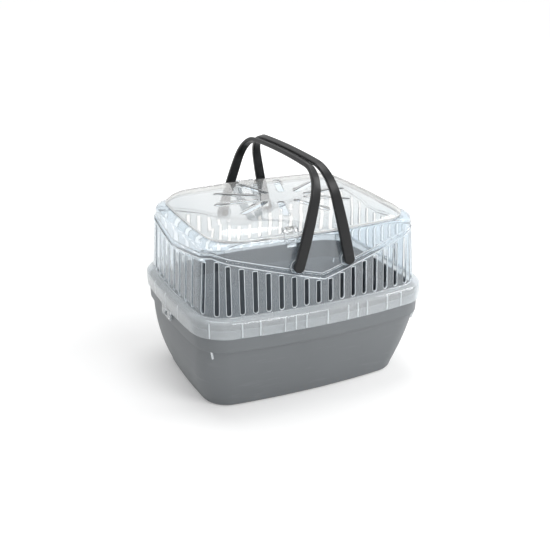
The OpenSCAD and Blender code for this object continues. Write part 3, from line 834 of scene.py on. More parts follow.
@dataclass(frozen=True)
class Plan:
    """Sizes that the tray, the cage and the lid share, in millimetres."""

    foot_l: float = 280
    foot_d: float = 226
    front_bow: float = 14
    end_bow: float = 7
    corner_r: float = 33
    lid_l: float = 247
    lid_d: float = 208
    floor_l: float = 255
    floor_d: float = 176
    lid_bow: float = 0.86
    floor_bow: float = 0.67
    gap: float = 0.3
    rim_z: float = 110
    foot_z: float = 125
    skirt_z: float = 101
    skirt_out: float = 9.2
    skirt_flare: float = 0.6
    tab_drop: float = 12
    window_w: float = 10
    window_h: float = 6
    ledge_z: float = 152
    end_ledge_z: float = 176
    ledge_slope: float = 0.28
    ledge_in: float = 5.5
    shoulder_z: float = 198
    seat_z: float = 203
    wall_lean: float = 0.045
    corner_lean: float = 0.04
    collar_out: float = 5.5
    pivot_x: float = 31
    pivot_z: float = 170
    strap_clear: float = 2.57
    strap_t: float = 5
    pin_r: float = 3
    pin_root: float = 4
    hinge_pin_r: float = 1.8
    hinge_wall: float = 1.8
    hinge_rise: float = 3.6
    knuckle_w: float = 13
    ear_t: float = 4
    latch_x: float = 38

    @property
    def foot(self) -> Outline:
        """Outline at the foot of the cage wall."""
        return Outline(self.foot_l / 2, self.foot_d / 2, self.corner_r, self.front_bow, self.end_bow)

    @property
    def floor(self) -> Outline:
        """Outline of the tray's floor."""
        return Outline(self.floor_l / 2, self.floor_d / 2, self.corner_r, self.front_bow * self.floor_bow,
                       self.end_bow * self.floor_bow)

    @property
    def lid(self) -> Outline:
        """Outline of the lid."""
        return Outline(self.lid_l / 2, self.lid_d / 2, self.corner_r + 3, self.front_bow * self.lid_bow,
                       self.end_bow * self.lid_bow)

    @property
    def window_z(self) -> float:
        """Lower edge of the windows in the end tabs."""
        return self.skirt_z - self.tab_drop + 2.5

    @property
    def ear_r(self) -> float:
        """Outer radius of the lid hinge's ears."""
        return self.hinge_pin_r + self.hinge_wall

    @property
    def hinge_spot(self) -> tuple[float, float]:
        """Depth and height of the lid hinge's axis."""
        return self.lid_d / 2 + self.gap + self.ear_r, self.seat_z + self.hinge_rise

    @property
    def half_way(self) -> float:
        """Way along a quarter of the foot outline."""
        return float(self.foot.lengths()[3])

    @property
    def corner_way(self) -> float:
        """Way to the middle of the corner."""
        return float(self.foot.way(np.array([1.5]))[0])

    @property
    def peak_z(self) -> float:
        """Height of the ledge at the middle of the corner."""
        return self.ledge_z + self.ledge_slope * (self.half_way - self.corner_way)

    def ledge(self, ways: np.ndarray) -> np.ndarray:
        """Height of the ledge at ways along the quarter, with a slightly softened peak."""
        front = self.ledge_z + self.ledge_slope * (self.half_way - ways)
        end = self.end_ledge_z + (self.peak_z - self.end_ledge_z) / self.corner_way * ways
        soft = 0.6
        return -soft * np.logaddexp(-front / soft, -end / soft)

    def recess(self, heights: np.ndarray) -> np.ndarray:
        """How far the panel above the ledge stands in."""
        share = np.maximum(0.0, self.peak_z - heights) / (self.peak_z - self.ledge_z)
        return self.ledge_in * np.sqrt(share)

    def lean(self, line: np.ndarray, z: np.ndarray | float) -> np.ndarray:
        """How far the wall has leaned in at height z."""
        return (z - self.foot_z) * (self.wall_lean + self.corner_lean * np.abs(2 * line[:, 2] * line[:, 3]))

    def panel_y(self, x: float, z: float) -> float:
        """Distance of the recessed front panel from the middle plane."""
        front = self.foot.arcs()[2]
        a = math.acos(x / front[2])
        c, s = math.cos(a), math.sin(a)
        p = np.array([[front[0] + front[2] * c, front[1] + front[2] * s, c, s]])
        recess = float(self.recess(np.array([self.ledge_z + self.ledge_slope * x]))[0])
        return float(p[0, 1] - self.lean(p, z)[0] - recess)

    @property
    def strap_in(self) -> float:
        """Inner face of the straps."""
        return self.panel_y(self.pivot_x, self.pivot_z) + self.strap_clear


@dataclass
class Tray:
    """Opaque tapered tray with a stepped collar, corner fins and end hooks.

    The rows of step_rows and rim_rows are how far in and how far up or down a point of the rounding stands.
    """

    plan: Plan
    finishes: Finishes
    wall: float = 2.4
    step_z: float = 84
    step_in: float = 3.6
    edge_r: float = 6
    end_bulge: float = 5
    rim_flare: float = 0.5
    fin_t: float = 1.6
    fin_h: float = 10
    fin_root: float = 1.2
    levels: int = 14
    step_rows: tuple[tuple[float, float], ...] = (
        (2.9, -1.65), (1.5, -0.75), (0.75, -0.3), (0.25, 0.2), (0.02, 1.1))
    rim_rows: tuple[tuple[float, float], ...] = (
        (0.15, 0.45), (0.5, 0.1), (0.9, 0), (1.5, 0), (1.9, 0.1), (2.25, 0.45), (2.4, 1))
    shares: np.ndarray = field(default_factory=lambda: quarter_shares(12, 18, 22))

    def edge_row(self, turn: float, inward: float) -> np.ndarray:
        """Row round the rounded edge of the floor."""
        r = self.edge_r - inward
        return ring(self.plan.floor.at(self.shares), r * (math.sin(turn) - 1) - inward,
                    self.edge_r - r * math.cos(turn))

    def wall_row(self, t: float, inward: float) -> np.ndarray:
        """Row of the tapered wall at share t of its height."""
        foot = self.plan.foot.at(self.shares)
        low = ring(self.plan.floor.at(self.shares), -inward, self.edge_r)
        high = ring(foot, self.plan.collar_out - self.step_in - inward, self.step_z - self.step_in / 2)
        row = low * (1 - t) + high * t
        row[:, 0] += foot[:, 2] * np.abs(foot[:, 2]) * self.end_bulge * 4 * t * (1 - t)
        return row

    def shell(self) -> Solid:
        """Shell of the tray, closed round its rim."""
        foot, out = self.plan.foot.at(self.shares), self.plan.collar_out
        rim, wall, step, levels = self.plan.rim_z, self.wall, self.step_z, self.levels
        turns = np.linspace(0, math.pi / 2, 9)
        bottom, inside = self.edge_row(0, 0), self.edge_row(0, wall)
        rows = [bottom * [s, s, 1] for s in (0, 0.25, 0.5, 0.75)]
        rows += [self.edge_row(t, 0) for t in turns[:-1]]
        rows += [self.wall_row(k / levels, 0) for k in range(levels + 1)]
        rows += [ring(foot, out - d, step + h) for d, h in self.step_rows]
        rows += [ring(foot, out + self.rim_flare * k / 3, step + 2 + (rim - step - 3) * k / 3) for k in range(1, 4)]
        rows += [ring(foot, out + self.rim_flare - d, rim - h) for d, h in self.rim_rows]
        # Faces from here on get the second finish: painted shade on the tray's inside.
        first_inside = len(rows) - 2
        rows += [ring(foot, out - wall, step + self.step_in / 2 + 0.4)]
        rows += [self.wall_row(k / levels, wall) for k in range(levels, -1, -1)]
        rows += [self.edge_row(t, wall) for t in turns[::-1][1:]]
        rows += [inside * [s, s, 1] for s in (0.75, 0.5, 0.25, 0)]
        marks = [int(k >= first_inside) for k in range(len(rows) - 1)]
        return Solid().grid(rows, marks=marks).copies(QUARTERS)

    def corner_fin(self) -> Solid:
        """Fin under the step in the middle of one corner."""
        x, y, radius = self.plan.foot.arcs()[1, :3]
        diagonal = math.sqrt(0.5)
        spot = (x + radius * diagonal, y + radius * diagonal, diagonal, diagonal)
        root, reach, top = -self.fin_root, self.plan.collar_out - 0.5, self.step_z + 1
        low = self.step_z - self.fin_h
        loop = rounded([(root, low, 0), (2.2, low, 0.6), (reach, top - 2, 0.8), (reach, top, 0), (root, top, 0)])
        return on_wall(spot, loop, self.fin_t, 0.35)

    def end_hook(self) -> Solid:
        """Ramped hook on the collar, in the window of the end tab."""
        p = self.plan
        w = p.window_w - 2 * p.gap
        low, high = p.window_z + p.gap, p.window_z + p.window_h - p.gap
        root, tip = p.foot_l / 2 + p.collar_out - self.wall / 2, p.foot_l / 2 + p.skirt_out - 1
        loop = rounded([(root, low, 0), (tip, low, 0.4), (tip, low + 1.6, 0.7), (root, high, 0)])
        return on_wall((0, 0, 1, 0), loop, w, 0.4)

    def build(self) -> None:
        """Builds the tray and dresses it."""
        made = self.shell().join(self.corner_fin().copies(QUARTERS), 2).join(self.end_hook().copies(ENDS))
        looks = [self.finishes.tray, self.finishes.inside, self.finishes.rim]
        settle(make_object("tray", made, looks), Body.BASE, "base_tray")


@dataclass(frozen=True)
class Slot:
    """One slot of the first quarter: way along the foot outline and height of its top."""

    way: float
    top: float


@dataclass
class Cage:
    """Slotted clear wall with its skirt, ledge, shoulder and seat, and the fittings on it.

    The rows of lip_rows are a point's height over the ledge, its share of the recess and how far out it stands.
    """

    plan: Plan
    finishes: Finishes
    trees: RepeatTrees
    wall: float = 2
    slot_w: float = 5.2
    front_pitch: float = 14.8
    end_pitch: float = 17.9
    front_slots: int = 8
    end_slots: int = 4
    slot_top_gap: float = 3
    corner_first: float = 0.25
    corner_step: float = 0.4
    slot_round: float = 0.6
    slot_guard: float = 0.5
    slot_tip: float = 0.9
    mesh_pitch: float = 5.5
    mesh_clear: float = 1.6
    lip_rows: tuple[tuple[float, float, float], ...] = (
        (-0.9, 0, 0), (-0.5, 0, 0.3), (0.1, 0, 0.5), (0.6, 0.02, 0.35), (0.95, 0.1, 0), (1.3, 0.35, -0.05),
        (1.8, 0.75, 0), (2.2, 0.94, 0), (2.7, 1, 0), (4.2, 1, 0), (4.5, 1, 0.25), (4.9, 1, 0.35),
        (5.3, 1, 0.25), (5.6, 1, 0))
    band_drop: float = 1.5
    skirt_bend: float = 9
    skirt_top: float = 2.5
    skirt_edge: float = 0.7
    skirt_fillet: float = 1
    seat_w: float = 4
    boss_r: float = 8.8
    rib_x: tuple[float, ...] = (26, 38.5, 51, 79, 99)
    rib_y: float = 40
    rib_t: float = 1.4
    rib_reach: float = 1.8
    rib_low: float = 1
    rib_high: float = 7.5
    rib_back: float = 0.7
    tab_w: float = 30
    ear_root: float = 1.6
    ear_drop: float = 16
    catch_w: float = 7
    catch_drop: float = 7
    clip_half: float = 5.5
    clip_drop: float = 10
    bead_r: float = 0.28
    shares: np.ndarray = field(default_factory=lambda: quarter_shares(14, 24, 36))

    def slots(self) -> list[Slot]:
        """Slots of the first quarter."""
        p, arcs, made = self.plan, self.plan.foot.arcs(), []
        for k in range(self.front_slots):
            x = (k + 0.5) * self.front_pitch
            made.append(Slot(p.half_way - arcs[2, 2] * math.asin(x / arcs[2, 2]), p.ledge_z + p.ledge_slope * x))
        for k in range(2):
            t = arcs[1, 3] + (arcs[1, 4] - arcs[1, 3]) * (self.corner_first + k * self.corner_step)
            made.append(Slot(float(p.foot.lengths()[1]) + (t - arcs[1, 3]) * p.corner_r,
                             p.peak_z - p.ledge_slope * p.corner_r * abs(math.pi / 4 - t)))
        rise = (p.peak_z - p.end_ledge_z) / p.corner_way
        for k in range(self.end_slots):
            y = (k + 0.5) * self.end_pitch
            made.append(Slot(arcs[0, 2] * math.asin(y / arcs[0, 2]), p.end_ledge_z + rise * y))
        return [Slot(s.way, s.top - self.slot_top_gap) for s in made]

    def slot_loop(self, slot: Slot, out: float) -> np.ndarray:
        """Loop of a slot over the way and the height, grown outward by out."""
        half, tip = self.slot_w / 2, self.slot_tip
        low, high = self.plan.foot_z + half, slot.top - tip
        loop = arc_points((slot.way, low), half + out, math.pi, 2 * math.pi)
        loop += [(slot.way + half + out, low + (high - low) * s) for s in (0.33, 0.67)]
        for side, start in ((1, 0.0), (-1, math.pi / 2)):
            loop += arc_points((slot.way + side * (half - tip), high), tip + out, start, start + math.pi / 2, 4)
        loop += [(slot.way - half - out, low + (high - low) * s) for s in (0.67, 0.33)]
        return np.array(loop)

    def on_band(self, flat: np.ndarray, depth: float) -> np.ndarray:
        """Places of points given by way and height on the wall, at a depth into it."""
        p = self.plan
        line = p.foot.at(p.foot.share(np.clip(flat[:, 0], 0, p.half_way)))
        return ring(line, -(p.lean(line, flat[:, 1]) + depth), flat[:, 1])

    def band(self) -> Solid:
        """Slotted band of the first quarter, between the skirt and the ledge."""
        p, r, w = self.plan, self.slot_round, self.wall
        ways = p.foot.way(self.shares)
        top = p.ledge(ways) + self.lip_rows[0][0]
        low = np.full(len(ways), self.band_z)
        border = np.concatenate([np.column_stack([ways, low]), np.column_stack([ways, top])[::-1]])
        slots = self.slots()
        holes = [self.slot_loop(s, r) for s in slots]
        heights = np.arange(self.band_z + 4, p.peak_z, self.mesh_pitch)
        grid = np.array([(u, z) for u in ways[1:-1] for z in heights])
        free = contains(border, grid)
        loops = np.concatenate([border, *holes])
        free &= np.array([np.min(np.abs(loops - g).max(1)) > self.mesh_clear for g in grid])
        for hole in holes:
            free &= ~contains(hole, grid)
        guard = [self.slot_loop(s, r + self.slot_guard) for s in slots]
        spots, tris = pierced_sheet(border, holes, np.concatenate([grid[free], *guard]))
        made = Solid().put(self.on_band(spots, 0), tris)
        made.put(self.on_band(spots, w), tris, flip=True)
        steps = rounding(r)
        steps += [(out, w - depth) for out, depth in reversed(steps)]
        for s in slots:
            made.grid([self.on_band(self.slot_loop(s, out), depth) for out, depth in steps], closed=True)
        return made

    @property
    def band_z(self) -> float:
        """Height of the lower edge of the slotted band."""
        return self.plan.foot_z - self.band_drop

    def skirt_rows(self) -> list[np.ndarray]:
        """Rows from the foot of the band inside, round the skirt, to the foot of the band outside."""
        p, w = self.plan, self.wall
        line = p.foot.at(self.shares)
        bend, top, out = p.foot_z - self.skirt_bend, p.foot_z - self.skirt_top, p.skirt_out
        lean = p.lean(line, self.band_z)
        turns = np.linspace(0, math.pi / 2, 10)
        rows = [ring(line, -(lean + w), self.band_z)]
        for t in turns[::-1]:
            inner = (out - w) * math.cos(t) - w * (1 - math.cos(t))
            rows.append(ring(line, inner, bend + (top - bend - w) * math.sin(t)))
        edge, lip, fillet = out - p.skirt_flare, self.skirt_edge, self.skirt_fillet
        drop = bend - p.skirt_z - 0.8
        rows += [ring(line, out - w - p.skirt_flare * k / 3, bend - drop * k / 3) for k in (1, 2, 3)]
        for a in np.linspace(math.pi, 2 * math.pi, 7):
            rows.append(ring(line, edge - w / 2 + w / 2 * math.cos(a), p.skirt_z + lip + lip * math.sin(a)))
        rows += [ring(line, out - p.skirt_flare * k / 3, bend - drop * k / 3) for k in (3, 2, 1)]
        rows += [ring(line, fillet + (out - fillet) * math.cos(t), bend + (top - bend) * math.sin(t)) for t in turns]
        for a in np.linspace(0, math.pi / 2, 4)[1:]:
            outward = fillet * (1 - math.sin(a)) - lean * math.sin(a)
            rows.append(ring(line, outward, top + fillet * (1 - math.cos(a))))
        return rows

    def upper_rows(self) -> list[np.ndarray]:
        """Rows from the top of the band outside, over the ledge, shoulder and seat, to its top inside."""
        p, w = self.plan, self.wall
        line, ways = p.foot.at(self.shares), p.foot.way(self.shares)
        ledge = p.ledge(ways)
        deep = p.recess(ledge)

        def row(z: np.ndarray | float, share: float, out: float) -> np.ndarray:
            """Row of the wall at height z, with a share of the recess, moved out a little."""
            return ring(line, out - p.lean(line, z) - share * deep, z)

        rows = [row(ledge + dz, share, out) for dz, share, out in self.lip_rows]
        start = ledge + self.lip_rows[-1][0]
        rows += [row(start + (p.shoulder_z - start) * k / 5, 1, 0) for k in range(1, 6)]
        seat = p.lid.at(self.shares)
        low, high = rows[-1], ring(seat, p.gap, p.seat_z)

        def over(a: np.ndarray, b: np.ndarray, t: float) -> np.ndarray:
            """Row of the rounded shoulder from row a to row b."""
            share = np.array([1 - math.cos(t), 1 - math.cos(t), math.sin(t)])
            return a + (b - a) * share

        rows += [over(low, high, t) for t in np.linspace(0, math.pi / 2, 10)[1:]]
        inner, middle = self.seat_w, p.seat_z - w / 2
        rows += [ring(seat, -(inner - 0.6), p.seat_z)]
        for a in np.linspace(math.pi / 2, -math.pi / 2, 7):
            rows.append(ring(seat, -inner + 0.4 * (1 + math.cos(a)) - 0.4, middle + w / 2 * math.sin(a)))
        under = p.shoulder_z - w / 2
        low_in = ring(line, -(p.lean(line, under) + deep + w), under)
        high_in = ring(seat, p.gap - w, p.seat_z - w)
        rows += [over(low_in, high_in, t) for t in np.linspace(math.pi / 2, 0, 8)]
        for k in (1, 2, 3, 4):
            z = under + (ledge + 1.9 - under) * k / 4
            rows.append(ring(line, -(p.lean(line, z) + deep + w), z))
        rows += [ring(line, -(p.lean(line, ledge + dz) + share * deep + w), ledge + dz)
                 for dz, share in ((1.2, 0.85), (0.3, 0.4), (-0.4, 0.06), (-0.9, 0))]
        return rows

    def shell(self) -> Solid:
        """Whole shell: clear wall, with the skirt marked for its own finish."""
        skirt = self.skirt_rows()
        quarter = Solid().grid(skirt, marks=[1] * len(skirt))
        return quarter.join(self.band()).grid(self.upper_rows()).copies(QUARTERS)

    def end_tab(self) -> Solid:
        """Tab in the middle of one end, with the window for the tray's hook."""
        p = self.plan
        half, low, high = self.tab_w / 2, p.skirt_z - p.tab_drop, p.skirt_z + 3
        plate = rounded([(half, high, 0), (-half, high, 0), (-half, low, 3.5), (half, low, 3.5)])
        side, base, top = p.window_w / 2, p.window_z, p.window_z + p.window_h
        window = rounded([(side, top, 1), (-side, top, 1), (-side, base, 1), (side, base, 1)])[::-1]
        out = p.foot_l / 2 + p.skirt_out - p.skirt_flare
        return along_x(plate, out - self.wall, self.wall, 0.5, [window])

    def boss(self) -> Solid:
        """Round boss that carries a handle's pin, at +X on the back."""
        p = self.plan
        out, low = p.strap_in - p.gap, p.panel_y(p.pivot_x, p.pivot_z) - p.pin_root
        made = prism(circle(self.boss_r), out - low, 0.6, [circle(p.pin_r + PIN_SLACK)[::-1]])
        return made.placed((1, 0, 0), (0, 0, -1), (0, 1, 0), (p.pivot_x, low, p.pivot_z))

    def hinge_ear(self) -> Solid:
        """Ear of the lid's hinge, at +X on the back."""
        p = self.plan
        r, (y, z) = p.ear_r, p.hinge_spot
        x = p.knuckle_w / 2 + p.gap
        foot = p.panel_y(x, p.seat_z) - self.ear_root
        arc = arc_points((y, z), r, 0, math.pi)
        loop = np.array([(foot, z - self.ear_drop), *arc, (y - r, p.seat_z - 2), (foot, p.shoulder_z)])
        return along_x(loop, x, p.ear_t, 0.45, [circle(p.hinge_pin_r + PIN_SLACK, 32, (y, z))[::-1]])

    def catch(self) -> Solid:
        """Low bead on the front panel, behind the latch."""
        p = self.plan
        z = p.seat_z - self.catch_drop
        face, out = p.panel_y(p.latch_x, z), p.panel_y(p.latch_x - self.clip_half, p.seat_z - self.clip_drop)
        loop = rounded([(face - 1, z - 1, 0), (out, z, 0.3), (out, z + 1, 0.3), (face - 1, z + 2, 0)])
        return along_x(loop, -self.catch_w / 2, self.catch_w, 0.25).mirrored(1, -1).moved((-p.latch_x, 0, 0))

    def rib_places(self) -> list[tuple[np.ndarray, Matrix]]:
        """Places of the ribs inside the skirt, all round."""
        p, arcs, made = self.plan, self.plan.foot.arcs(), []
        spots = [(2, math.acos(x / arcs[2, 2])) for x in self.rib_x]
        spots += [(1, math.pi / 4), (0, math.asin(self.rib_y / arcs[0, 2]))]
        lines = []
        for k, a in spots:
            c, s = math.cos(a), math.sin(a)
            x, y = arcs[k, 0] + arcs[k, 2] * c, arcs[k, 1] + arcs[k, 2] * s
            lines += [(sx * x, sy * y, sx * c, sy * s) for sx, sy in QUARTERS]
        lines += [(0, s * p.foot_d / 2, 0, s) for s in (1, -1)] + [(s * p.foot_l / 2, 0, s, 0) for s in (1, -1)]
        z, middle = p.skirt_z + self.rib_low, p.skirt_out - self.rib_back - self.rib_reach / 2
        for x, y, nx, ny in lines:
            made.append((np.array([x + nx * middle, y + ny * middle, z]), facing((nx, ny, 0), (-ny, nx, 0), (0, 0, 1))))
        return made

    def build(self) -> None:
        """Builds the cage and its fittings and dresses them."""
        p, looks = self.plan, [self.finishes.wall, self.finishes.skirt]
        settle(make_object("cage_wall", self.shell(), looks), Body.BASE, "cage_top")
        fittings = Solid().join(self.end_tab(), 1).join(self.hinge_ear()).copies(ENDS)
        fittings.join(self.boss().copies(QUARTERS)).join(self.catch())
        settle(make_object("cage_fittings", fittings, looks), Body.BASE)
        ribs = grow("skirt_ribs", point_guide(self.rib_places()), self.trees.ribs,
                    {"Length": (p.foot_z - self.rib_high - p.skirt_z) * MM, "Reach": self.rib_reach * MM,
                     "Thickness": self.rib_t * MM, "Rounding": 0.4 * MM, "Finish": self.finishes.rim})
        settle(ribs, Body.BASE)
        self.highlight_beads()

    def highlight_beads(self) -> None:
        """Builds the thin pale beads round the slots, along the ledge and round the bosses, their pale colour a painted
        highlight where light is caught.
        """
        p, made = self.plan, []
        line, ways = p.foot.at(self.shares), p.foot.way(self.shares)
        ledge = p.ledge(ways)
        deep = p.recess(ledge)
        for sx, sy in QUARTERS:
            turn = np.array([sx, sy, 1])
            made += [self.on_band(self.slot_loop(s, self.slot_round * 0.5), 0.05) * turn for s in self.slots()]
            y = p.strap_in - p.gap - 0.3
            made.append(np.array([(p.pivot_x + a, y, p.pivot_z + b) for a, b in circle(self.boss_r - 0.15)]) * turn)
        for rise, share, out in ((0.1, 0.0, 0.35), (4.9, 1.0, 0.2)):
            quarter = ring(line, out - p.lean(line, ledge + rise) - share * deep, ledge + rise)
            made.append(all_round(quarter, (-1, 1, 1), (1, -1, 1)))
        beads = grow("cage_highlight_beads", path_guide(made), self.trees.bead,
                     {"Radius": self.bead_r * MM, "Finish": self.finishes.rim})
        settle(beads, Body.BASE)


@dataclass
class Lid:
    """Clear pillow-shaped lid with its vents, hinge knuckle and latch lug."""

    plan: Plan
    finishes: Finishes
    trees: RepeatTrees
    height: float = 13.5
    wall: float = 2
    rim_h: float = 2.5
    dome_in: float = 34
    flat_in: float = 26
    vents: int = 10
    vent_w: float = 8
    vent_l: float = 48
    vent_in: tuple[float, float] = (33, 22)
    vent_round: float = 0.5
    mesh_rings: tuple[float, ...] = (29, 32, 35, 44, 58, 72)
    mesh_clear: float = 1.5
    knuckle_inset: float = 0.6
    lug_w: float = 8
    lug_pin_r: float = 1.2
    lug_pin_out: float = 4.2
    latch_back: float = 3.4
    latch_r: float = 2.4
    bead_r: float = 0.22
    shares: np.ndarray = field(default_factory=lambda: quarter_shares(14, 22, 26))

    def top_z(self, d: np.ndarray | float) -> np.ndarray:
        """Height of the pillow at a distance in from its edge."""
        share = np.clip(np.asarray(d, float) / self.dome_in, 0, 1)
        return self.plan.seat_z + self.rim_h + (self.height - self.rim_h) * (1 - (1 - share) ** 3)

    def under_z(self, d: np.ndarray | float) -> np.ndarray:
        """Height of the underside at a distance in from the edge."""
        return self.top_z((np.asarray(d, float) - self.wall) * self.dome_in / (self.dome_in - self.wall)) - self.wall

    @property
    def vent_turns(self) -> list[float]:
        """Angle of each vent."""
        return [2 * math.pi * k / self.vents for k in range(self.vents)]

    def vent_loop(self, turn: float, out: float) -> np.ndarray:
        """Loop of one vent in plan, grown outward by out."""
        r = self.vent_w / 2 + out
        flat = np.array(arc_points((0, 0), r, math.pi / 2, 1.5 * math.pi)
                        + arc_points((self.vent_l, 0), r, -math.pi / 2, math.pi / 2))
        c, s = math.cos(turn), math.sin(turn)
        return flat @ np.array([[c, s], [-s, c]]) + [self.vent_in[0] * c, self.vent_in[1] * s]

    def depth_in(self, flat: np.ndarray) -> np.ndarray:
        """Distance of points in plan from the lid's edge."""
        dense = self.plan.lid.full(np.linspace(0, 3, 1200))[:, :2]
        return np.array([np.sqrt(((dense - q) ** 2).sum(1).min()) for q in flat])

    def shell(self) -> Solid:
        """Pillow with its rim and vents."""
        p, w, r = self.plan, self.wall, self.vent_round
        line, foot, rim = p.lid.full(self.shares), p.seat_z, p.seat_z + self.rim_h
        steps = np.linspace(0, 1, 15) ** 1.6
        rows = [ring(line, -d, self.under_z(d)) for d in w + (self.flat_in - w) * steps[::-1]]
        rows += [ring(line, out, z) for out, z in (
            (-w, foot + 0.5), (-w + 0.4, foot), (-0.6, foot), (-0.15, foot + 0.15), (0, foot + 0.6),
            (0, rim - 0.6), (-0.12, rim - 0.1))]
        rows += [ring(line, -d, self.top_z(d)) for d in 0.4 + (self.flat_in - 0.4) * steps]
        made = Solid().grid(rows, closed=True)
        border = rows[-1][:, :2]
        holes = [self.vent_loop(turn, r) for turn in self.vent_turns]
        inner = [line[:, :2] - line[:, 2:] * d for d in self.mesh_rings]
        inside = np.concatenate([q[::2] for q in inner] + [np.array([[0.0, 0.0], [20, 0], [-20, 0]])])
        loops = np.concatenate([border, *holes])
        inside = inside[np.array([np.sqrt(((loops - q) ** 2).sum(1).min()) > self.mesh_clear for q in inside])]
        for hole in holes:
            inside = inside[~contains(hole, inside)]
        guard = [self.vent_loop(turn, r + 0.5) for turn in self.vent_turns]
        spots, tris = pierced_sheet(border, holes, np.concatenate([inside, *guard]))
        depth = self.depth_in(spots)
        depth[:len(border)] = self.flat_in
        made.put(np.column_stack([spots, self.top_z(depth)]), tris)
        made.put(np.column_stack([spots, self.under_z(depth)]), tris, flip=True)
        levels = rounding(r)
        for hole, turn in zip(holes, self.vent_turns):
            deep = self.depth_in(hole)
            top, under = self.top_z(deep), self.under_z(deep)
            rows = [np.column_stack([self.vent_loop(turn, out), top - down]) for out, down in levels]
            rows += [np.column_stack([self.vent_loop(turn, out), under + down]) for out, down in reversed(levels)]
            made.grid(rows, closed=True)
        return made

    def knuckle(self) -> Solid:
        """Hinge knuckle at the back, with its pins."""
        p = self.plan
        (y, z), r = p.hinge_spot, p.ear_r - self.knuckle_inset
        root = p.lid_d / 2 - self.wall * 0.75
        arc = arc_points((y, z), r, -math.pi / 2, math.pi / 2)
        loop = np.array([(root, z - r), *arc, (root, p.seat_z + self.rim_h)])
        made = along_x(loop, -p.knuckle_w / 2, p.knuckle_w, 0.5)
        half = p.knuckle_w / 2 + p.gap + p.ear_t
        return made.join(along_x(circle(p.hinge_pin_r, 32, (y, z)), -half, 2 * half, 0.3))

    def hinge_point(self) -> tuple[float, float, float]:
        """Lid's edge at the latch, and the place of the latch hinge, as distances to the front and up."""
        arc = self.plan.lid.arcs()[2]
        edge = arc[1] + math.sqrt(arc[2] ** 2 - self.plan.latch_x**2)
        return float(edge), float(edge - self.latch_back), float(self.top_z(self.latch_back)) + 1.45 * self.latch_r

    def lug(self) -> Solid:
        """Lug of the latch hinge on the front slope, with its pin."""
        edge, y, z = self.hinge_point()
        r, pin_half = self.latch_r, self.lug_w / 2 + self.lug_pin_out
        arc = arc_points((y, z), r, 0, math.pi)
        near, far = edge - 1.5, y - r
        loop = np.array([(near, float(self.top_z(1.5)) - 1), *arc, (far, float(self.top_z(edge - far)) - 1)])
        made = along_x(loop, -self.lug_w / 2, self.lug_w, 0.35)
        made.join(along_x(circle(self.lug_pin_r, 24, (y, z)), -pin_half, 2 * pin_half, 0.2))
        return made.mirrored(1, -1).moved((-self.plan.latch_x, 0, 0))

    def build(self) -> None:
        """Builds the lid and dresses it."""
        made = self.shell().join(self.knuckle()).join(self.lug())
        settle(make_object("roof_pillow", made, [self.finishes.lid]), Body.LID, "roof_lid")
        # Thin pale beads round the vents and along the lid's edge: painted highlights.
        p, rims = self.plan, []
        for turn in self.vent_turns:
            loop = self.vent_loop(turn, 0.3)
            rims.append(np.column_stack([loop, self.top_z(self.depth_in(loop)) - 0.1]))
        rims.append(ring(p.lid.full(self.shares), -0.2, p.seat_z + self.rim_h - 0.2))
        beads = grow("lid_highlight_beads", path_guide(rims), self.trees.bead,
                     {"Radius": self.bead_r * MM, "Finish": self.finishes.rim})
        settle(beads, Body.LID)


@dataclass
class Latch:
    """Clear clip, with the edges of the solid softened."""

    finishes: Finishes
    soften: float = 0.3

    def build(self) -> None:
        """Builds the clip from a merged copy of its solid."""
        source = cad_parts["lid_latch"]
        mesh = source.data.copy()
        mesh.transform(source.matrix_world)
        shape = bmesh.new()
        shape.from_mesh(mesh)
        bmesh.ops.remove_doubles(shape, verts=shape.verts, dist=2e-6)
        bmesh.ops.dissolve_limit(shape, angle_limit=math.radians(2), verts=shape.verts, edges=shape.edges)
        shape.to_mesh(mesh)
        shape.free()
        mesh.materials.clear()
        mesh.materials.append(self.finishes.latch)
        holder = linked("latch_clip_source", mesh)
        edge = holder.modifiers.new("soft edges", "BEVEL")
        edge.width, edge.segments = self.soften * MM, 2
        edge.limit_method, edge.angle_limit = "ANGLE", math.radians(40)
        settle(link_mesh("latch_clip", baked(holder), 35), Body.LATCH, "lid_latch")


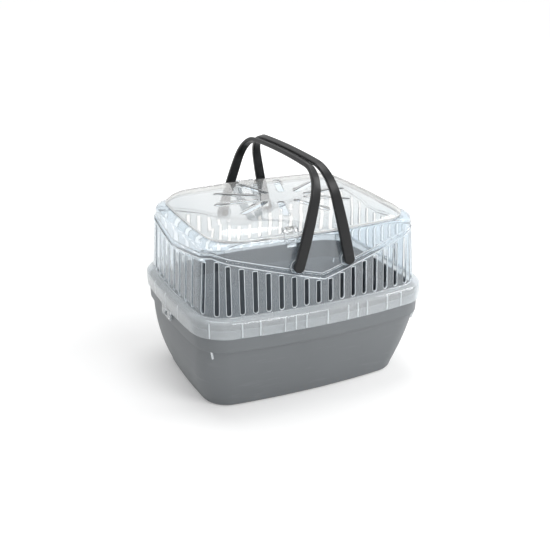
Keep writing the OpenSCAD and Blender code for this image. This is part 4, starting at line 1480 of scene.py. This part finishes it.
@dataclass
class Handle:
    """Black strap handle with its pins and the fine ribs of its grip."""

    plan: Plan
    side: Side
    finishes: Finishes
    trees: RepeatTrees
    reach: float = 106.5
    corner_r: float = 38
    strap_w: float = 12.4
    grip_w: float = 8.2
    width_taper: float = 3
    edge: float = 1.2
    crown_bow: float = 5.2
    side_bow: float = 13
    pair_tilt: float = 2.2
    head_out: float = 1.4
    head_t: float = 1.6
    rib_pitch: float = 3.1
    rib_margin: float = 1.1
    rib_reach: float = 1.5
    rib_t: float = 0.5
    rib_round: float = 0.2
    rib_sink: float = 0.1
    shares: np.ndarray = field(default_factory=lambda: quarter_shares(16, 20, 26))

    @property
    def strap_y(self) -> float:
        """Middle of the strap at its pivots."""
        return self.plan.strap_in + self.plan.strap_t / 2

    @property
    def path(self) -> Outline:
        """Outline that the strap follows, over Y and height."""
        return Outline(self.strap_y, self.reach, self.corner_r, self.crown_bow, self.side_bow)

    @property
    def lean(self) -> float:
        """Turn about the pivots at which the two grips meet, with the tilt of the pair."""
        top = self.reach + self.plan.strap_t / 2
        meet = (math.asin((self.plan.pivot_x - self.plan.gap / 2) / math.hypot(top, self.grip_w / 2))
                - math.atan(self.grip_w / 2 / top))
        return math.radians(self.pair_tilt) - self.side.value * meet

    def width(self, h: np.ndarray | float) -> np.ndarray | float:
        """Width of the strap at height h above its pivots."""
        return self.grip_w + (self.strap_w - self.grip_w) * (1 - (h / self.reach) ** self.width_taper)

    def section(self, width: float) -> np.ndarray:
        """Rounded section: across and outward."""
        e, t = self.edge, self.plan.strap_t
        loop = []
        for k, (sx, sy) in enumerate(QUARTERS):
            centre = (sx * (width / 2 - e), sy * (t / 2 - e))
            loop += arc_points(centre, e, k * math.pi / 2, (k + 1) * math.pi / 2, 6)
        return np.array(loop)

    def line(self) -> np.ndarray:
        """Half outline from the back pivot over the grip to the front pivot."""
        q = self.path.at(self.shares)
        return np.concatenate([q, q[:-1][::-1] * [-1, 1, -1, 1]])

    def strap(self) -> Solid:
        """Strap in its own frame: X across, Y between the pivots, Z up from them."""
        rows = []
        for y, h, ny, nz in self.line():
            s = self.section(float(self.width(h)))
            rows.append(np.column_stack([s[:, 0], y + ny * s[:, 1], h + nz * s[:, 1]]))
        made = Solid().grid(rows, closed=True)
        n = len(rows[0])
        return made.put(rows[0], [range(n)], flip=True).put(rows[-1], [range(n)])

    def pivot_end(self) -> Solid:
        """Round end with its pin and snap head, at the back."""
        p = self.plan
        head = p.panel_y(p.pivot_x, p.pivot_z) - p.pin_root - p.gap
        axes = ((1, 0, 0), (0, 0, -1), (0, 1, 0))
        made = prism(circle(self.strap_w / 2), p.strap_t, 0.9, steps=4).placed(*axes, (0, p.strap_in, 0))
        made.join(prism(circle(p.pin_r, 32), self.strap_y - head, 0.1).placed(*axes, (0, head, 0)))
        snap = prism(circle(p.pin_r + self.head_out, 32), self.head_t, 0.4)
        return made.join(snap.placed(*axes, (0, head - self.head_t, 0)))

    def stand(self, solid: Solid) -> Solid:
        """Leans a shape about the pivots and puts it at its place."""
        a = self.lean
        x = (math.cos(a), 0, -math.sin(a))
        z = (math.sin(a), 0, math.cos(a))
        return solid.placed(x, (0, 1, 0), z, (self.side.value * self.plan.pivot_x, 0, self.plan.pivot_z))

    def rib_places(self) -> list[tuple[np.ndarray, Matrix]]:
        """Places of the fine ribs across the top of the grip."""
        crown = self.path.arcs()[2]
        half = int((math.pi / 2 - crown[3]) * crown[2] / self.rib_pitch) - 1
        lean = Matrix.Rotation(self.lean, 3, "Y")
        made = []
        for k in range(-half, half + 1):
            t = math.pi / 2 + k * self.rib_pitch / crown[2]
            r = crown[2] + self.plan.strap_t / 2 - self.rib_sink
            spot = Vector((-self.grip_w / 2 + self.rib_margin, crown[0] + r * math.cos(t), crown[1] + r * math.sin(t)))
            turn = facing((0, -math.sin(t), math.cos(t)), (0, -math.cos(t), -math.sin(t)), (1, 0, 0))
            at = lean @ spot + Vector((self.side.value * self.plan.pivot_x, 0, self.plan.pivot_z))
            made.append((np.array(at), lean @ turn))
        return made

    def build(self) -> None:
        """Builds the handle and dresses it."""
        side, look = self.side.name.lower(), self.finishes.strap
        name, body = side + "_handle", Body[self.side.name + "_HANDLE"]
        made = self.strap().join(self.pivot_end().copies(((1, 1), (1, -1))))
        settle(make_object(side + "_strap", self.stand(made), [look], 45), body, name)
        ribs = grow(side + "_grip_ribs", point_guide(self.rib_places()), self.trees.ribs,
                    {"Length": (self.grip_w - 2 * self.rib_margin) * MM, "Reach": self.rib_reach * MM,
                     "Thickness": self.rib_t * MM, "Rounding": self.rib_round * MM, "Finish": look})
        settle(ribs, body)


@dataclass
class Studio:
    """Camera, soft lights, pale floor and white surroundings."""

    eye: tuple[float, float, float] = (-0.4201, -0.8719, 0.5027)
    pitch: float = 68.23
    yaw: float = -25.31
    lens: float = 55.64
    world_level: float = 0.5
    near_glow: float = 0.24
    far_glow: float = 0.6
    floor_half: float = 9.0
    aim: tuple[float, float, float] = (0, 0, 0.12)
    lamps: tuple[tuple[str, tuple[float, float, float], float, float], ...] = (
        ("front softbox", (0.45, -1.6, 1.4), 1.0, 15.0),
        ("right softbox", (1.6, -0.5, 1.3), 1.0, 14.0),
        ("top softbox", (0.0, 0.4, 2.0), 1.4, 16.0),
    )

    def camera(self) -> None:
        """Makes the camera at the photograph's angle."""
        data = bpy.data.cameras.new("camera")
        data.lens, data.sensor_width, data.sensor_height = self.lens, 36, 36
        data.clip_start, data.clip_end = 0.01, 60
        made = linked("camera", data)
        made.location = self.eye
        made.rotation_euler = (math.radians(self.pitch), 0, math.radians(self.yaw))
        bpy.context.scene.camera = made

    def lights(self) -> None:
        """Makes the soft lamps, each turned to the object."""
        for name, spot, size, power in self.lamps:
            data = bpy.data.lights.new(name, "AREA")
            data.shape, data.size, data.energy = "DISK", size, power
            made = linked(name, data)
            made.location = spot
            made.rotation_euler = (Vector(self.aim) - Vector(spot)).to_track_quat("-Z", "Y").to_euler()

    def world(self) -> None:
        """Makes the surroundings: white to the eye, and a plain level of light."""
        world = bpy.data.worlds.new("surroundings")
        world.use_nodes = True
        world.node_tree.nodes.clear()
        g = Graph(world.node_tree)
        light = g.node("ShaderNodeBackground", {"Color": (1, 1, 1, 1), "Strength": self.world_level})
        seen = g.node("ShaderNodeBackground", {"Color": (1, 1, 1, 1), "Strength": 1.0})
        mix = g.node("ShaderNodeMixShader", {"Fac": seen_rays(g), 1: light.outputs[0], 2: seen.outputs[0]})
        g.node("ShaderNodeOutputWorld", {"Surface": mix.outputs[0]})
        bpy.context.scene.world = world

    def floor(self) -> None:
        """Makes the pale floor. It keeps its shadow and adds white to what the eye sees, less of it near the carrier,
        which paints shade on the floor round it.
        """
        mesh, half = bpy.data.meshes.new("floor"), self.floor_half
        mesh.from_pydata([(-half, -half, 0), (half, -half, 0), (half, half, 0), (-half, half, 0)], [], [(0, 1, 2, 3)])
        made, g = new_material("pale floor")
        where = g.node("ShaderNodeTexCoord").outputs["Object"]
        far = g.node("ShaderNodeVectorMath", {0: where}, operation="LENGTH")
        # The added white grows from near_glow by the carrier to far_glow far out: painted shade on the floor round the
        # carrier.
        level = g.node("ShaderNodeMapRange", {
            "Value": far.outputs["Value"], "From Min": 0.25, "From Max": 1.1, "To Min": self.near_glow,
            "To Max": self.far_glow}, interpolation_type="SMOOTHSTEP")
        strength = g.math("MULTIPLY", seen_rays(g), level.outputs["Result"])
        glow = g.node("ShaderNodeEmission", {"Color": (1, 1, 1, 1), "Strength": strength})
        paint = g.node("ShaderNodeBsdfDiffuse", {"Color": (0.8, 0.8, 0.8, 1)})
        both = g.node("ShaderNodeAddShader", {0: paint.outputs[0], 1: glow.outputs[0]})
        g.node("ShaderNodeOutputMaterial", {"Surface": both.outputs[0]})
        mesh.materials.append(made)
        plane = linked("floor", mesh)

    def build(self) -> None:
        """Builds the whole studio."""
        bpy.context.scene.view_settings.view_transform = "Standard"
        self.camera()
        self.lights()
        self.world()
        self.floor()


def corners(box: tuple[Vector, Vector]) -> list[list[float]]:
    """Lowest and highest corner as plain numbers."""
    return [[float(v) for v in corner] for corner in box]


def main() -> None:
    """Builds the studio and every piece."""
    logging.basicConfig(level=logging.INFO, format="%(name)s: %(message)s")
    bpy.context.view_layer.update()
    Studio().build()
    plan, finishes, trees = Plan(), build_finishes(), RepeatTrees()
    Tray(plan, finishes).build()
    Cage(plan, finishes, trees).build()
    Lid(plan, finishes, trees).build()
    Latch(finishes).build()
    for side in Side:
        Handle(plan, side, finishes, trees).build()


if __name__ == "__main__":
    main()
